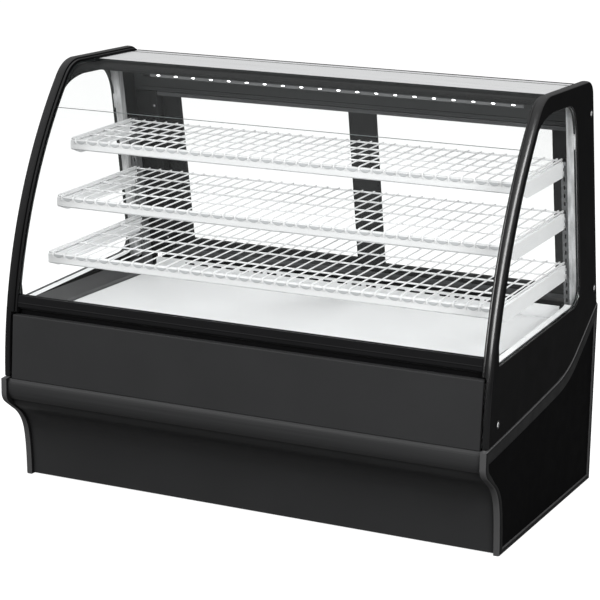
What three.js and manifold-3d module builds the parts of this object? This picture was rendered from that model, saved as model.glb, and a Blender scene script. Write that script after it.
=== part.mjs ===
// Curved-glass refrigerated display case on a closed base, in millimetres.
// +X is the case's right end, -Y its customer side, +Z up. The origin is on the floor,
// under the middle of the case.

import * as THREE from 'three';
import Module from 'manifold-3d';
import { mergeVertices } from 'three/addons/utils/BufferGeometryUtils.js';

const wasm = await Module();
wasm.setup();

// ---------- driving dimensions ----------
const LENGTH = 1505;
const DEPTH = 893;
const HEIGHT = 1219;
const HALF = LENGTH / 2;
const FRONT = -DEPTH / 2;
const REAR = DEPTH / 2;
const GAP = 0.4;

// the curved front: one large arc, a tighter arc into the flat top
const FRONT_R = 1331.8;
const FRONT_CY = 902.8;
const FRONT_CZ = 340;
const SHOULDER_R = 110;
const REAR_CORNER_R = 50;

// the rear leans forward from its sill
const LEAN = THREE.MathUtils.degToRad(11.54);
const SILL_Y = 439;
const SILL_Z = 560;

const END_IN = HALF - 36;          // inner face of the upper end frames
const END_OUT = HALF - 2;          // outer face of the upper end frames
const TRIM_IN = HALF - 20;         // inner face of the base trims
const INSIDE = END_IN - 0.8;       // half width of what spans between the end frames
const SKIN_IN = END_OUT - 5.5;      // the end frames are a thin skin outside the shelf uprights
const GLASS_T = 6;
const GLASS_INSET = 14;            // end frames stand this proud of the curved glass
const SEAM_Z = 1089;               // seam between the tilting and the fixed pane
const PANEL_TOP = 513;
const BAND_TOP = 324;
const BAND_LOW = 262;
const TUB_TOP = 505;
const DECK_T = 4;

const MATERIALS = {
  black: { color: 0x1b1b1c, roughness: 0.45, metalness: 0.1 },
  charcoal: { color: 0x2f3133, roughness: 0.5, metalness: 0.2 },
  inset: { color: 0x101011, roughness: 0.55, metalness: 0.05 },
  white: { color: 0xe9ebec, roughness: 0.45, metalness: 0.0 },
  silver: { color: 0xb9bbbd, roughness: 0.35, metalness: 0.9 },
  steel: { color: 0x8d9092, roughness: 0.4, metalness: 0.8 },
  glass: { color: 0xdfe8e8, roughness: 0.05, metalness: 0.0, transparent: true, opacity: 0.3 },
  copper: { color: 0xa8653f, roughness: 0.35, metalness: 0.9 },
  rubber: { color: 0x161616, roughness: 0.9, metalness: 0.0 },
  lens: { color: 0xffffff, roughness: 0.3, metalness: 0.0 },
};

const model = new THREE.Group();

// ---------- shape helpers ----------
const GRID = 1000;                  // vertices are snapped to 1/1000 mm, so shared ones agree
function toSolid(geometry) {
  const bare = geometry.clone();
  bare.deleteAttribute('normal');
  bare.deleteAttribute('uv');
  const snapped = bare.attributes.position;
  for (let i = 0; i < snapped.array.length; i += 1) {
    snapped.array[i] = Math.round(snapped.array[i] * GRID) / GRID;
  }
  const merged = mergeVertices(bare, 1e-4);
  return new wasm.Manifold(new wasm.Mesh({
    numProp: 3,
    vertProperties: new Float32Array(merged.attributes.position.array),
    triVerts: new Uint32Array(merged.index.array),
  }));
}

function toGeometry(solid) {
  const mesh = solid.getMesh();
  const geometry = new THREE.BufferGeometry();
  geometry.setAttribute('position', new THREE.BufferAttribute(mesh.vertProperties, 3));
  geometry.setIndex(new THREE.BufferAttribute(mesh.triVerts, 1));
  geometry.computeVertexNormals();
  return geometry;
}

function join(...pieces) {
  return toGeometry(pieces.map(toSolid).reduce((sum, piece) => sum.add(piece)));
}

function cut(body, ...tools) {
  return toGeometry(tools.map(toSolid).reduce((rest, tool) => rest.subtract(tool), toSolid(body)));
}

function box(x0, x1, y0, y1, z0, z1) {
  const geometry = new THREE.BoxGeometry(x1 - x0, y1 - y0, z1 - z0);
  return geometry.translate((x0 + x1) / 2, (y0 + y1) / 2, (z0 + z1) / 2);
}

// outlines keep no two neighbouring points closer than this, so every triangle has a real size
const MIN_EDGE = 0.05;
function thinOut(points) {
  const kept = points.filter((p, i) => i === 0 || p.distanceTo(points[i - 1]) > MIN_EDGE);
  while (kept[0].distanceTo(kept[kept.length - 1]) < MIN_EDGE) kept.pop();
  return kept;
}

function wind(points, clockwise) {
  return THREE.ShapeUtils.isClockWise(points) === clockwise ? points : points.reverse();
}

function extrude(shape, depth, segments) {
  const { shape: outer, holes } = shape.extractPoints(segments);
  const clean = new THREE.Shape(wind(thinOut(outer), false));
  clean.holes = holes.map((hole) => new THREE.Path(wind(thinOut(hole), true)));
  return new THREE.ExtrudeGeometry(clean, { depth, bevelEnabled: false, curveSegments: 1 });
}

// a (y, z) outline drawn from the right end, extruded along X
function alongX(shape, x0, x1, segments = 12) {
  const turn = new THREE.Matrix4().makeBasis(
    new THREE.Vector3(0, 1, 0), new THREE.Vector3(0, 0, 1), new THREE.Vector3(1, 0, 0));
  return extrude(shape, x1 - x0, segments).applyMatrix4(turn).translate(x0, 0, 0);
}

// an (x, z) outline drawn from the front, extruded along Y
function alongY(shape, y0, y1, segments = 12) {
  return extrude(shape, y1 - y0, segments).rotateX(Math.PI / 2).translate(0, y1, 0);
}

function polygon(points) {
  return new THREE.Shape(points.map(([u, v]) => new THREE.Vector2(u, v)));
}

function disc(radius, y0, y1, segments = 24) {
  return new THREE.CylinderGeometry(radius, radius, y1 - y0, segments).translate(0, (y0 + y1) / 2, 0);
}

function add(name, geometry, material, parent = model) {
  const closed = toGeometry(toSolid(geometry));
  const mesh = new THREE.Mesh(closed, new THREE.MeshStandardMaterial(MATERIALS[material]));
  mesh.name = name;
  parent.add(mesh);
  return mesh;
}

// the same piece at both ends, mirrored by building it at the right and turning its X signs
function mirrorX(geometry) {
  const flipped = toSolid(geometry).mirror([1, 0, 0]);
  return toGeometry(flipped);
}

function addPair(stem, geometry, material, parent = model) {
  add(`${stem}_right`, geometry, material, parent);
  add(`${stem}_left`, mirrorX(geometry), material, parent);
}

// places a shape drawn in the leaning rear's own axes: Y through its thickness, Z up along it
function leaned(geometry) {
  return geometry.clone().rotateX(LEAN).translate(0, SILL_Y, SILL_Z);
}

// ---------- the side profile ----------
const SHOULDER_CZ = HEIGHT - SHOULDER_R;
const SHOULDER_CY = FRONT_CY - Math.sqrt(
  (FRONT_R - SHOULDER_R) ** 2 - (SHOULDER_CZ - FRONT_CZ) ** 2);
const SHOULDER_ANGLE = Math.atan2(SHOULDER_CZ - FRONT_CZ, SHOULDER_CY - FRONT_CY);

function frontAngle(z, inset = 0) {
  return Math.PI - Math.asin((z - FRONT_CZ) / (FRONT_R - inset));
}

function frontY(z, inset = 0) {
  return FRONT_CY + (FRONT_R - inset) * Math.cos(frontAngle(z, inset));
}

function leanY(z) {
  return SILL_Y - (z - SILL_Z) * Math.tan(LEAN);
}

// up the front curve from height z0 and over the shoulder, at a distance inside the outline
function traceFront(shape, z0, inset) {
  shape.absarc(FRONT_CY, FRONT_CZ, FRONT_R - inset, frontAngle(z0, inset), SHOULDER_ANGLE, true);
  shape.absarc(SHOULDER_CY, SHOULDER_CZ, SHOULDER_R - inset, SHOULDER_ANGLE, Math.PI / 2, true);
}

// the line on which the base trims meet the upper end frames, from rear to front
function traceParting(shape, lift) {
  shape.lineTo(441, 541 + lift);
  shape.lineTo(270, 432 + lift);
  shape.quadraticCurveTo(202, 389 + lift, 100, 379 + lift);
}

// the S-curve of the base, from the floor to the bulge
function traceKick(shape, inset) {
  shape.lineTo(-316 + inset, 0 + inset * 0.9);
  shape.bezierCurveTo(-318 + inset, 60, -322 + inset, 108, -332 + inset, 146);
  shape.quadraticCurveTo(-346 + inset, 194, -390 + inset, 222);
  shape.lineTo(-425 + inset, 247 + inset * 0.4);
  shape.quadraticCurveTo(FRONT + inset, 262 + inset * 0.4, FRONT + inset, 282);
}

// ---------- upper end frames, their glass ----------
// the tube that carries each slotted shelf channel, let into the end frame behind its window
const POST = { front: -147, back: -121, z0: 20, z1: 648 };
// the frame is open in front of the tube's foot and head
const POST_BAY = { front: -192, z1: 124 };
const HEAD_BAY = { front: -196, z0: 590 };

function endFrame() {
  const outline = new THREE.Shape();
  outline.moveTo(frontY(329), 329);
  traceFront(outline, 329, 0);
  const cornerZ = HEIGHT - REAR_CORNER_R;
  const cornerY = leanY(cornerZ) - REAR_CORNER_R / Math.cos(LEAN);
  outline.absarc(cornerY, cornerZ, REAR_CORNER_R, Math.PI / 2, LEAN, true);
  traceParting(outline, 1);
  outline.closePath();

  const opening = new THREE.Path();
  opening.moveTo(-372, 545);
  opening.lineTo(215, 573);
  opening.quadraticCurveTo(282, 577, 272, 640);
  opening.lineTo(188, 1060);
  opening.quadraticCurveTo(170, 1166, 100, 1168);
  opening.lineTo(-32, 1168);
  opening.quadraticCurveTo(-112, 1160, -143, 1130);
  opening.absarc(FRONT_CY, FRONT_CZ, FRONT_R - 23, frontAngle(1110, 23), frontAngle(600, 23), false);
  opening.closePath();
  outline.holes.push(opening);

  const full = alongX(outline, END_IN, END_OUT, 12);
  const lowFront = box(END_IN - 1, TRIM_IN, FRONT - 1, REAR + 1, 300, PANEL_TOP + 8);
  const play = 0.6;
  const post = leaned(box(
    END_IN - 1, SKIN_IN, POST.front - play, POST.back + play, POST.z0 - play, POST.z1 + play));
  const bay = leaned(box(END_IN - 1, SKIN_IN, POST_BAY.front, POST.front, POST.z0 - play, POST_BAY.z1));
  const headBay = leaned(box(END_IN - 1, SKIN_IN, HEAD_BAY.front, POST.front, HEAD_BAY.z0, POST.z1 + play));
  return cut(full, lowFront, post, bay, headBay);
}

function endGlass() {
  const pane = new THREE.Shape();
  pane.moveTo(-370, 546);
  pane.lineTo(214, 574);
  pane.quadraticCurveTo(280, 578, 270, 640);
  pane.lineTo(186.5, 1059);
  pane.quadraticCurveTo(168, 1165, 99, 1167);
  pane.lineTo(-32, 1167);
  pane.quadraticCurveTo(-111, 1159, -142, 1129);
  pane.absarc(FRONT_CY, FRONT_CZ, FRONT_R - 25, frontAngle(1109, 25), frontAngle(601, 25), false);
  return alongX(pane, SKIN_IN - 0.5 - GLASS_T, SKIN_IN - 0.5, 10);
}

addPair('upper_end_frame', endFrame(), 'black');
addPair('end_glass', endGlass(), 'glass');

// ---------- base ends: a trim ring with a recessed panel in it ----------
function baseTrim() {
  const ring = new THREE.Shape();
  ring.moveTo(REAR, 545);
  ring.lineTo(REAR, 0);
  traceKick(ring, 0);
  ring.lineTo(FRONT, 327);
  ring.quadraticCurveTo(-170, 349, 100, 378);
  ring.quadraticCurveTo(202, 388, 270, 431);
  ring.closePath();
  const opening = new THREE.Path();
  opening.moveTo(REAR - 16, 500);
  opening.lineTo(REAR - 16, 16);
  traceKick(opening, 18);
  opening.lineTo(FRONT + 18, 292);
  opening.quadraticCurveTo(-170, 313, 100, 342);
  opening.quadraticCurveTo(202, 352, 270, 395);
  opening.closePath();
  ring.holes.push(opening);
  return alongX(ring, TRIM_IN, HALF, 8);
}

function basePanel() {
  const panel = new THREE.Shape();
  panel.moveTo(REAR - 17, 498.5);
  panel.lineTo(REAR - 17, 17);
  traceKick(panel, 19);
  panel.lineTo(FRONT + 19, 291);
  panel.quadraticCurveTo(-170, 312, 100, 341);
  panel.quadraticCurveTo(202, 351, 270, 394);
  return alongX(panel, TRIM_IN + 2, HALF - 5, 8);
}

addPair('base_trim', baseTrim(), 'charcoal');
addPair('base_end_panel', basePanel(), 'inset');

// ---------- front of the base ----------
function frontPanel() {
  const face = polygon([
    [frontY(PANEL_TOP, -1), PANEL_TOP], [frontY(BAND_TOP, -1), BAND_TOP + 1],
    [frontY(BAND_TOP, -1) + 12, BAND_TOP + 1], [frontY(PANEL_TOP, -1) + 12, PANEL_TOP - 10],
    [frontY(PANEL_TOP, -1) + 22, PANEL_TOP - 10], [frontY(PANEL_TOP, -1) + 22, PANEL_TOP],
  ].reverse());
  return alongX(face, -HALF + 28, HALF - 28);
}

function lowerBand() {
  const section = new THREE.Shape();
  section.moveTo(-429, BAND_TOP);
  section.quadraticCurveTo(-439, 318, -439, 302);
  section.quadraticCurveTo(-439, 278, -424, BAND_LOW);
  section.lineTo(-414, BAND_LOW + 5);
  section.quadraticCurveTo(-429, 282, -429, 302);
  section.lineTo(-418, BAND_TOP);
  return alongX(section, -TRIM_IN + GAP, TRIM_IN - GAP, 6);
}

const KICK_FOOT = 3;
function kickPanel() {
  const section = new THREE.Shape();
  section.moveTo(-306, KICK_FOOT);
  section.bezierCurveTo(-308, 60, -312, 108, -322, 146);
  section.quadraticCurveTo(-336, 194, -380, 222);
  section.lineTo(-408, 243);
  section.lineTo(-403, 250);
  section.lineTo(-376, 230);
  section.quadraticCurveTo(-330, 200, -316, 150);
  section.bezierCurveTo(-304, 110, -302, 60, -300, KICK_FOOT);
  return alongX(section, -TRIM_IN + GAP, TRIM_IN - GAP, 8);
}

add('front_panel', frontPanel(), 'charcoal');
add('lower_front_band', lowerBand(), 'charcoal');
add('kick_panel', kickPanel(), 'charcoal');
add('front_sill', join(
  box(-INSIDE, INSIDE, -388, -378, TUB_TOP + GAP, 529),
  box(-INSIDE, INSIDE, -379, -352, 523, 529),
  box(-INSIDE, INSIDE, -379, -374, TUB_TOP + GAP, 524),
), 'black');

// ---------- floor of the machine compartment ----------
const PAN_X = 728;
const PAN_Y0 = -294;
const PAN_Y1 = 430;
add('base_pan', cut(
  box(-PAN_X, PAN_X, PAN_Y0, PAN_Y1, 12.4, 56),
  box(-PAN_X + 3, PAN_X - 3, PAN_Y0 + 3, PAN_Y1 - 3, 16, 60),
), 'steel');
for (const [side, sign] of [['right', 1], ['left', -1]]) {
  const inner = sign * 655;
  const outer = sign * 715;
  add(`floor_skid_${side}`,
    box(Math.min(inner, outer), Math.max(inner, outer), PAN_Y0 + 6, PAN_Y1 - 6, 0, 12), 'rubber');
}

// ---------- insulated tub and what lies in and on it ----------
const CAVITY = { x: 664, y0: -348, y1: 322, z: 300 };
add('insulated_tub', cut(
  box(-INSIDE, INSIDE, -396, 370, 250, TUB_TOP),
  box(-CAVITY.x, CAVITY.x, CAVITY.y0, CAVITY.y1, CAVITY.z, TUB_TOP + 10),
), 'white');

const DECK_Z = TUB_TOP + GAP;
add('deck_panel', join(
  box(-672, 672, -350, 324, DECK_Z, DECK_Z + DECK_T),
  box(-650, 650, -340, -334, DECK_Z - 20, DECK_Z + 1),
), 'white');

function sideSill() {
  const section = polygon([[674, DECK_Z], [INSIDE, DECK_Z], [INSIDE, 548], [674, 520]]);
  return alongY(section, -345, 300);
}
addPair('side_sill', sideSill(), 'charcoal');

const RETURN = { half: 672, y0: 328, y1: 332, top: 548, slots: 14, slotHalf: 30 };
function returnGrille() {
  const slots = [];
  const step = (2 * RETURN.half) / RETURN.slots;
  for (let i = 0; i < RETURN.slots; i += 1) {
    const x = -RETURN.half + step * (i + 0.5);
    slots.push(box(x - RETURN.slotHalf, x + RETURN.slotHalf,
      RETURN.y0 - 1, RETURN.y1 + 1, RETURN.top - 14, RETURN.top - 7));
  }
  return cut(box(-RETURN.half, RETURN.half, RETURN.y0, RETURN.y1, DECK_Z, RETURN.top), ...slots);
}
add('rear_air_grille', returnGrille(), 'white');

// a finned heat exchanger: end plates, fins and the tubes through them
function coil(x0, x1, y0, y1, z0, z1, fins) {
  const pieces = [];
  const step = (x1 - x0 - 4) / fins;
  for (let i = 0; i <= fins; i += 1) {
    pieces.push(box(x0 + i * step, x0 + i * step + 4, y0, y1, z0, z1));
  }
  const rows = 3;
  for (let row = 0; row < rows; row += 1) {
    const z = z0 + ((row + 0.5) * (z1 - z0)) / rows;
    pieces.push(box(x0 - 12, x1 + 12, (y0 + y1) / 2 - 7, (y0 + y1) / 2 + 7, z - 7, z + 7));
  }
  return join(...pieces);
}

// fan wheel turning on Y: a hub and pitched blades
function fanWheel(radius, hub, blades) {
  const pieces = [disc(hub, -14, 14, 16)];
  for (let i = 0; i < blades; i += 1) {
    const blade = new THREE.BoxGeometry(radius - hub + 6, 3, radius * 0.5);
    blade.rotateX(0.55);
    blade.translate((radius + hub) / 2 - 4, 0, 0);
    pieces.push(blade.rotateY((i * 2 * Math.PI) / blades));
  }
  return join(...pieces);
}

function fanPlate(x0, x1, z0, z1, holes, y0, y1) {
  const face = polygon([[x0, z0], [x1, z0], [x1, z1], [x0, z1]]);
  for (const [x, z, r] of holes) {
    const hole = new THREE.Path();
    hole.absarc(x, z, r, 0, Math.PI * 2, true);
    face.holes.push(hole);
  }
  return alongY(face, y0, y1, 14);
}

const EVAP_FAN_Z = 378;
const EVAP_FANS = [['left', -420], ['right', -40]];
add('evaporator_coil', coil(-600, 140, 90, 210, CAVITY.z + GAP, 450, 10), 'steel');
add('evaporator_fan_plate', fanPlate(-630, 170, CAVITY.z + GAP, 455,
  EVAP_FANS.map(([, x]) => [x, EVAP_FAN_Z, 66]), 40, 43), 'steel');
for (const [side, x] of EVAP_FANS) {
  add(`evaporator_fan_${side}`, fanWheel(60, 20, 4), 'black').position.set(x, 24, EVAP_FAN_Z);
}

// ---------- condensing unit under the tub ----------
function compressor() {
  const profile = [[0, 24], [70, 24], [88, 44], [92, 60], [92, 150], [84, 182], [58, 204], [0, 212]];
  const shell = new THREE.LatheGeometry(profile.map(([r, z]) => new THREE.Vector2(r, z)), 20);
  shell.rotateX(Math.PI / 2);
  return join(shell, box(-100, 100, -62, 62, 16.4, 27), box(60, 112, -26, 26, 90, 150));
}
add('compressor', compressor(), 'black').position.set(330, 140, 0);

const COND_FAN = { x: -60, z: 128 };
add('condenser_coil', coil(-210, 90, 120, 190, 16.4, 236, 8), 'copper');
add('condenser_fan_shroud', fanPlate(
  -210, 90, 16.4, 236, [[COND_FAN.x, COND_FAN.z, 98]], 240, 243), 'black');
add('condenser_fan', fanWheel(92, 26, 5), 'steel').position.set(COND_FAN.x, 268, COND_FAN.z);

add('condensate_pan', cut(
  box(-600, -290, -60, 200, 16.4, 60),
  box(-597, -293, -57, 197, 19, 70),
), 'white');
add('control_box', box(-640, -420, 300, 410, 60, 236), 'steel');

// ---------- rear of the base ----------
const GRILLE_Y = REAR - 4;
const KNOB = { x: -530, z: 180 };
const SWITCH = { x: -580, z: 180 };
function rearGrille() {
  const openings = [];
  for (let column = 0; column < 2; column += 1) {
    for (let row = 0; row < 8; row += 1) {
      const x = -420 + column * 480;
      const z = 46 + row * 20;
      openings.push(box(x, x + 440, GRILLE_Y - 5, GRILLE_Y + 1, z, z + 10));
    }
  }
  openings.push(disc(9, GRILLE_Y - 5, GRILLE_Y + 1, 16).translate(KNOB.x, 0, KNOB.z));
  openings.push(box(
    SWITCH.x - 13, SWITCH.x + 13, GRILLE_Y - 5, GRILLE_Y + 1, SWITCH.z - 14, SWITCH.z + 14));
  return cut(box(-TRIM_IN + 2, TRIM_IN - 2, GRILLE_Y - 3, GRILLE_Y, 18, 246), ...openings);
}
add('rear_grille', rearGrille(), 'black');
add('thermostat_knob', join(
  disc(7, -18, 2, 12),
  disc(16, 1.8, 4, 20),
  box(-2, 2, 2, 4, 2, 15),
), 'black').position.set(KNOB.x, REAR - 4, KNOB.z);
add('light_switch', alongX(polygon([[-10, -12], [3, -12], [1, 0], [3, 12], [-10, 12]]), -11, 11), 'black')
  .position.set(SWITCH.x, REAR - 5, SWITCH.z);
add('rear_body_panel', join(
  box(-INSIDE, INSIDE, 374, REAR - 1, 548, 551),
  box(-INSIDE, INSIDE, REAR - 4, REAR - 1, 248, 549),
), 'black');

// ---------- leaning rear: posts, header, tracks and two sliding doors ----------
// in this group Y runs through the thickness of the rear, with 0 at its outer face, and Z along it
const rear = new THREE.Group();
rear.position.set(0, SILL_Y, SILL_Z);
rear.rotation.x = LEAN;
model.add(rear);

const OPENING = { left: -640, right: 706, top: 548 };
const POST_X = 714;
add('rear_post_left', box(-POST_X, OPENING.left, -62, -4, 12, OPENING.top), 'black', rear);
add('rear_post_right', box(OPENING.right, POST_X, -62, -4, 12, OPENING.top), 'black', rear);
add('rear_header', box(-POST_X, POST_X, -62, -4, OPENING.top + 1, 648), 'charcoal', rear);

const TRACKS = [-47, -25];           // centre of the inner and of the outer door
function doorTrack(z0, z1, lipZ0, lipZ1) {
  const x0 = OPENING.left + 1;
  const x1 = OPENING.right - 1;
  const walls = [-60, -37, -12].map((y) => box(x0, x1, y, y + 3, lipZ0, lipZ1));
  return join(box(x0, x1, -60, -9, z0, z1), ...walls);
}
add('lower_door_track', doorTrack(12, 15, 14, 24), 'silver', rear);
add('upper_door_track', doorTrack(OPENING.top - 4, OPENING.top - 1, OPENING.top - 14, OPENING.top - 3),
  'silver', rear);

const DOOR = { width: 690, stile: 60, sill: 34, head: 9, z0: 16, z1: 543, thick: 15 };
const GROOVE = 5;                    // depth of the groove that holds the glass
function slidingDoor(x0, x1, pullX) {
  const z0 = DOOR.z0 + DOOR.sill;
  const z1 = DOOR.z1 - DOOR.head;
  return cut(
    box(0, DOOR.width, -DOOR.thick / 2, DOOR.thick / 2, DOOR.z0, DOOR.z1),
    box(x0, x1, -DOOR.thick, DOOR.thick, z0, z1),
    box(x0 - GROOVE, x1 + GROOVE, -3, 3, z0 - GROOVE, z1 + GROOVE),
    box(pullX, pullX + 20, 3, DOOR.thick, 210, 350),
  );
}

function doorGlass(x0, x1) {
  const reach = GROOVE - 1;
  return box(x0 - reach, x1 + reach, -2.5, 2.5,
    DOOR.z0 + DOOR.sill - reach, DOOR.z1 - DOOR.head + reach);
}

// each door: its place, its running track, the sides of its glazed opening, its finger pull
const DOORS = [
  { side: 'left', x: OPENING.left + 2, y: TRACKS[1], x0: DOOR.stile, x1: DOOR.width - 55, pullX: 20 },
  { side: 'right', x: OPENING.right - 2 - DOOR.width, y: TRACKS[0], x0: 79, x1: DOOR.width - DOOR.stile,
    pullX: DOOR.width - 40 },
];
for (const { side, x, y, x0, x1, pullX } of DOORS) {
  add(`rear_door_${side}`, slidingDoor(x0, x1, pullX), 'black', rear).position.set(x, y, 0);
  add(`door_glass_${side}`, doorGlass(x0, x1), 'glass', rear).position.set(x, y, 0);
}

// ---------- top: panel, light canopy, light strip ----------
const TOP_Z = HEIGHT - GLASS_INSET - 1;
const TOP_FRONT = 47;
add('top_panel', join(
  box(-INSIDE, INSIDE, TOP_FRONT, 290, TOP_Z - 5, TOP_Z),
  box(-INSIDE, INSIDE, 287, 290, TOP_Z - 1, TOP_Z + 2),
), 'silver');
add('light_canopy', alongX(polygon([
  [TOP_FRONT + 4, TOP_Z - 5 - GAP], [TOP_FRONT + 12, 1169], [228, 1169], [228, TOP_Z - 5 - GAP],
]), -INSIDE, INSIDE), 'black');
add('light_strip', alongX(polygon([
  [62, 1168.6], [62, 1161], [66, 1158], [76, 1158], [80, 1161], [80, 1168.6],
]), -545, 632), 'lens');

// ---------- curved glass ----------
function fixedPane() {
  const shape = new THREE.Shape();
  const z0 = SEAM_Z + 2;
  const inner = GLASS_INSET + GLASS_T;
  shape.moveTo(frontY(z0, GLASS_INSET), z0);
  traceFront(shape, z0, GLASS_INSET);
  shape.lineTo(TOP_FRONT - 1, HEIGHT - GLASS_INSET);
  shape.lineTo(TOP_FRONT - 1, HEIGHT - inner);
  shape.absarc(SHOULDER_CY, SHOULDER_CZ, SHOULDER_R - inner, Math.PI / 2, SHOULDER_ANGLE, false);
  shape.absarc(FRONT_CY, FRONT_CZ, FRONT_R - inner, SHOULDER_ANGLE, frontAngle(z0 - 3, inner), false);
  return alongX(shape, -INSIDE, INSIDE, 10);
}

const HINGE = { y: frontY(531, GLASS_INSET + GLASS_T / 2), z: 531 };
function tiltingPane() {
  const shape = new THREE.Shape();
  const z0 = 541;
  const z1 = SEAM_Z - 2;
  const inner = GLASS_INSET + GLASS_T;
  shape.absarc(FRONT_CY, FRONT_CZ, FRONT_R - GLASS_INSET,
    frontAngle(z0, GLASS_INSET), frontAngle(z1, GLASS_INSET), true);
  shape.absarc(FRONT_CY, FRONT_CZ, FRONT_R - inner,
    frontAngle(z1 - 3, inner), frontAngle(z0, inner), false);
  return alongX(shape, -INSIDE, INSIDE, 22);
}

function glassRail() {
  const outline = polygon([
    [frontY(534, 8), 534], [frontY(534, 8) + 20, 534],
    [frontY(568, 8) + 20, 568], [frontY(568, 8), 568],
  ]);
  const slot = polygon([
    [frontY(540, GLASS_INSET - 0.5), 540], [frontY(540, GLASS_INSET - 0.5) + 7, 540],
    [frontY(569, GLASS_INSET - 0.5) + 7, 570], [frontY(569, GLASS_INSET - 0.5), 570],
  ]);
  const rod = new THREE.Shape();
  rod.absarc(HINGE.y + 1, HINGE.z, 3.6, 0, Math.PI * 2, false);
  return cut(join(alongX(outline, -INSIDE, INSIDE), alongX(rod, -INSIDE, INSIDE, 3)),
    alongX(slot, -INSIDE - 1, INSIDE + 1));
}

add('fixed_glass', fixedPane(), 'glass');
add('tilting_glass', tiltingPane(), 'glass');
add('glass_rail', glassRail(), 'black');

// ---------- shelf uprights, brackets and wire shelves ----------
const UPRIGHT = { x0: 693.5, x1: 713, front: -131, back: -100, z0: -18, z1: 470, wall: 2 };
const SLOT = { x0: 699, x1: 705, length: 26, pitch: 50, first: 40 };
function upright() {
  const { x0, x1, front, back, z0, z1, wall } = UPRIGHT;
  const channel = cut(
    box(x0, x1, front, back, z0, z1),
    box(x0 + wall, x1 - wall, front + wall, back - wall, z0 - 1, z1 + 1),
  );
  const tube = cut(
    box(END_IN + GAP, SKIN_IN - GAP, POST.front, POST.back, POST.z0, POST.z1),
    box(END_IN + 3, SKIN_IN - 3, POST.front + wall, POST.back - wall, POST.z0 - 1, POST.z1 + 1),
  );
  const web = box(x1 - 1, END_IN + 2, front, front + 6, POST.z0, z1);
  const slots = [];
  for (let z = SLOT.first; z < z1 - SLOT.length; z += SLOT.pitch) {
    slots.push(box(SLOT.x0, SLOT.x1, front - 1, front + wall + 1, z, z + SLOT.length));
  }
  return cut(join(channel, tube, web), ...slots);
}
addPair('shelf_upright', upright(), 'silver', rear);

const SHELF_TILT = THREE.MathUtils.degToRad(2);
const WIRE = 5;
const BRACKET_T = 3;
const BRACKET_H = 46;
const SHELVES = [
  { name: 'upper', z: 994, depth: 352 },
  { name: 'middle', z: 840, depth: 462 },
  { name: 'lower', z: 684, depth: 545 },
];

function shelfBracket(depth) {
  const side = polygon([
    [-depth + 22, -8], [-depth + 22, -BRACKET_H + 14], [-depth + 60, -BRACKET_H],
    [-4, -BRACKET_H], [-4, 0], [-depth + 28, 0],
  ]);
  return alongX(side, 700, 700 + BRACKET_T);
}

// front-to-back wires welded on cross wires, with a sheet rail along the front edge
function wireShelf(depth) {
  const reach = 704;
  const pieces = [];
  const crossings = [-depth + 14, -depth * 0.5, -8];
  for (const y of crossings) {
    pieces.push(box(-reach, reach, y - WIRE / 2, y + WIRE / 2, GAP, GAP + WIRE));
  }
  const wires = 14;
  for (let i = 0; i <= wires; i += 1) {
    const x = -reach + 6 + (i * (2 * reach - 12)) / wires;
    pieces.push(box(x - WIRE / 2, x + WIRE / 2, -depth + 8, -4, GAP + WIRE - 1, GAP + 2 * WIRE - 1));
  }
  const rail = polygon([
    [-depth + 16, GAP + 1], [-depth + 16, GAP + 5], [-depth + 4, GAP + 7], [-depth, GAP],
    [-depth, -26], [-depth + 10, -30], [-depth + 11, -27], [-depth + 3, -24], [-depth + 3, GAP + 1],
  ]);
  pieces.push(alongX(rail, -reach, reach));
  return join(...pieces);
}

for (const { name, z, depth } of SHELVES) {
  const along = (z - SILL_Z - UPRIGHT.front * Math.sin(LEAN)) / Math.cos(LEAN);
  const shelf = new THREE.Group();
  shelf.position.set(0, SILL_Y + UPRIGHT.front * Math.cos(LEAN) - along * Math.sin(LEAN), z);
  shelf.rotation.x = SHELF_TILT;
  model.add(shelf);
  addPair(`${name}_shelf_bracket`, shelfBracket(depth), 'white', shelf);
  add(`${name}_wire_shelf`, wireShelf(depth), 'white', shelf);
}

export default model;
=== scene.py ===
import math

import bmesh
import bpy
from mathutils import Matrix, Vector
from mathutils.geometry import tessellate_polygon


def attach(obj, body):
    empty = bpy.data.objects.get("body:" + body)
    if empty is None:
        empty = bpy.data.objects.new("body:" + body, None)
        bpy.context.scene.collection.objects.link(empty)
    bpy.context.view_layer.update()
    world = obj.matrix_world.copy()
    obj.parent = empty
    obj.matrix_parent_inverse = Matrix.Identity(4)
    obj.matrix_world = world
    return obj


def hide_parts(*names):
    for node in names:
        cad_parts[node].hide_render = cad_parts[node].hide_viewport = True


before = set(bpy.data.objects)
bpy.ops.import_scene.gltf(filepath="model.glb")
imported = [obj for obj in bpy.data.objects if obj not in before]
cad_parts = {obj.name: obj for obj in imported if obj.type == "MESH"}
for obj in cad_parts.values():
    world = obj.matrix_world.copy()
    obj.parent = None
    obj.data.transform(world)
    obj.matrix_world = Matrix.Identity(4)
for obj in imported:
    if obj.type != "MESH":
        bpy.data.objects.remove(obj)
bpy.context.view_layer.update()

# ---------- measurements of the case, in millimetres ----------
MM = 0.001
GRAIN_DEPTH = 0.4 * MM
HALF = 752.5
FRONT = -446.5
REAR = 446.5
HEIGHT = 1219.0
FRONT_R, FRONT_CY, FRONT_CZ = 1331.8, 902.8, 340.0
SHOULDER_R = 110.0
REAR_CORNER_R = 50.0
LEAN = math.radians(11.54)
SILL_Y, SILL_Z = 439.0, 560.0
END_IN, END_OUT = HALF - 36, HALF - 2
TRIM_IN = HALF - 20
INSIDE = END_IN - 0.8
GLASS_T, GLASS_INSET = 6.0, 14.0
SEAM_Z = 1089.0
PANEL_TOP, BAND_TOP, BAND_LOW = 513.0, 324.0, 262.0
DECK_Z = 505.4
TOP_Z = 1204.0
TOP_FRONT = 47.0
SHELF_TILT = math.radians(2)
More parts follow.
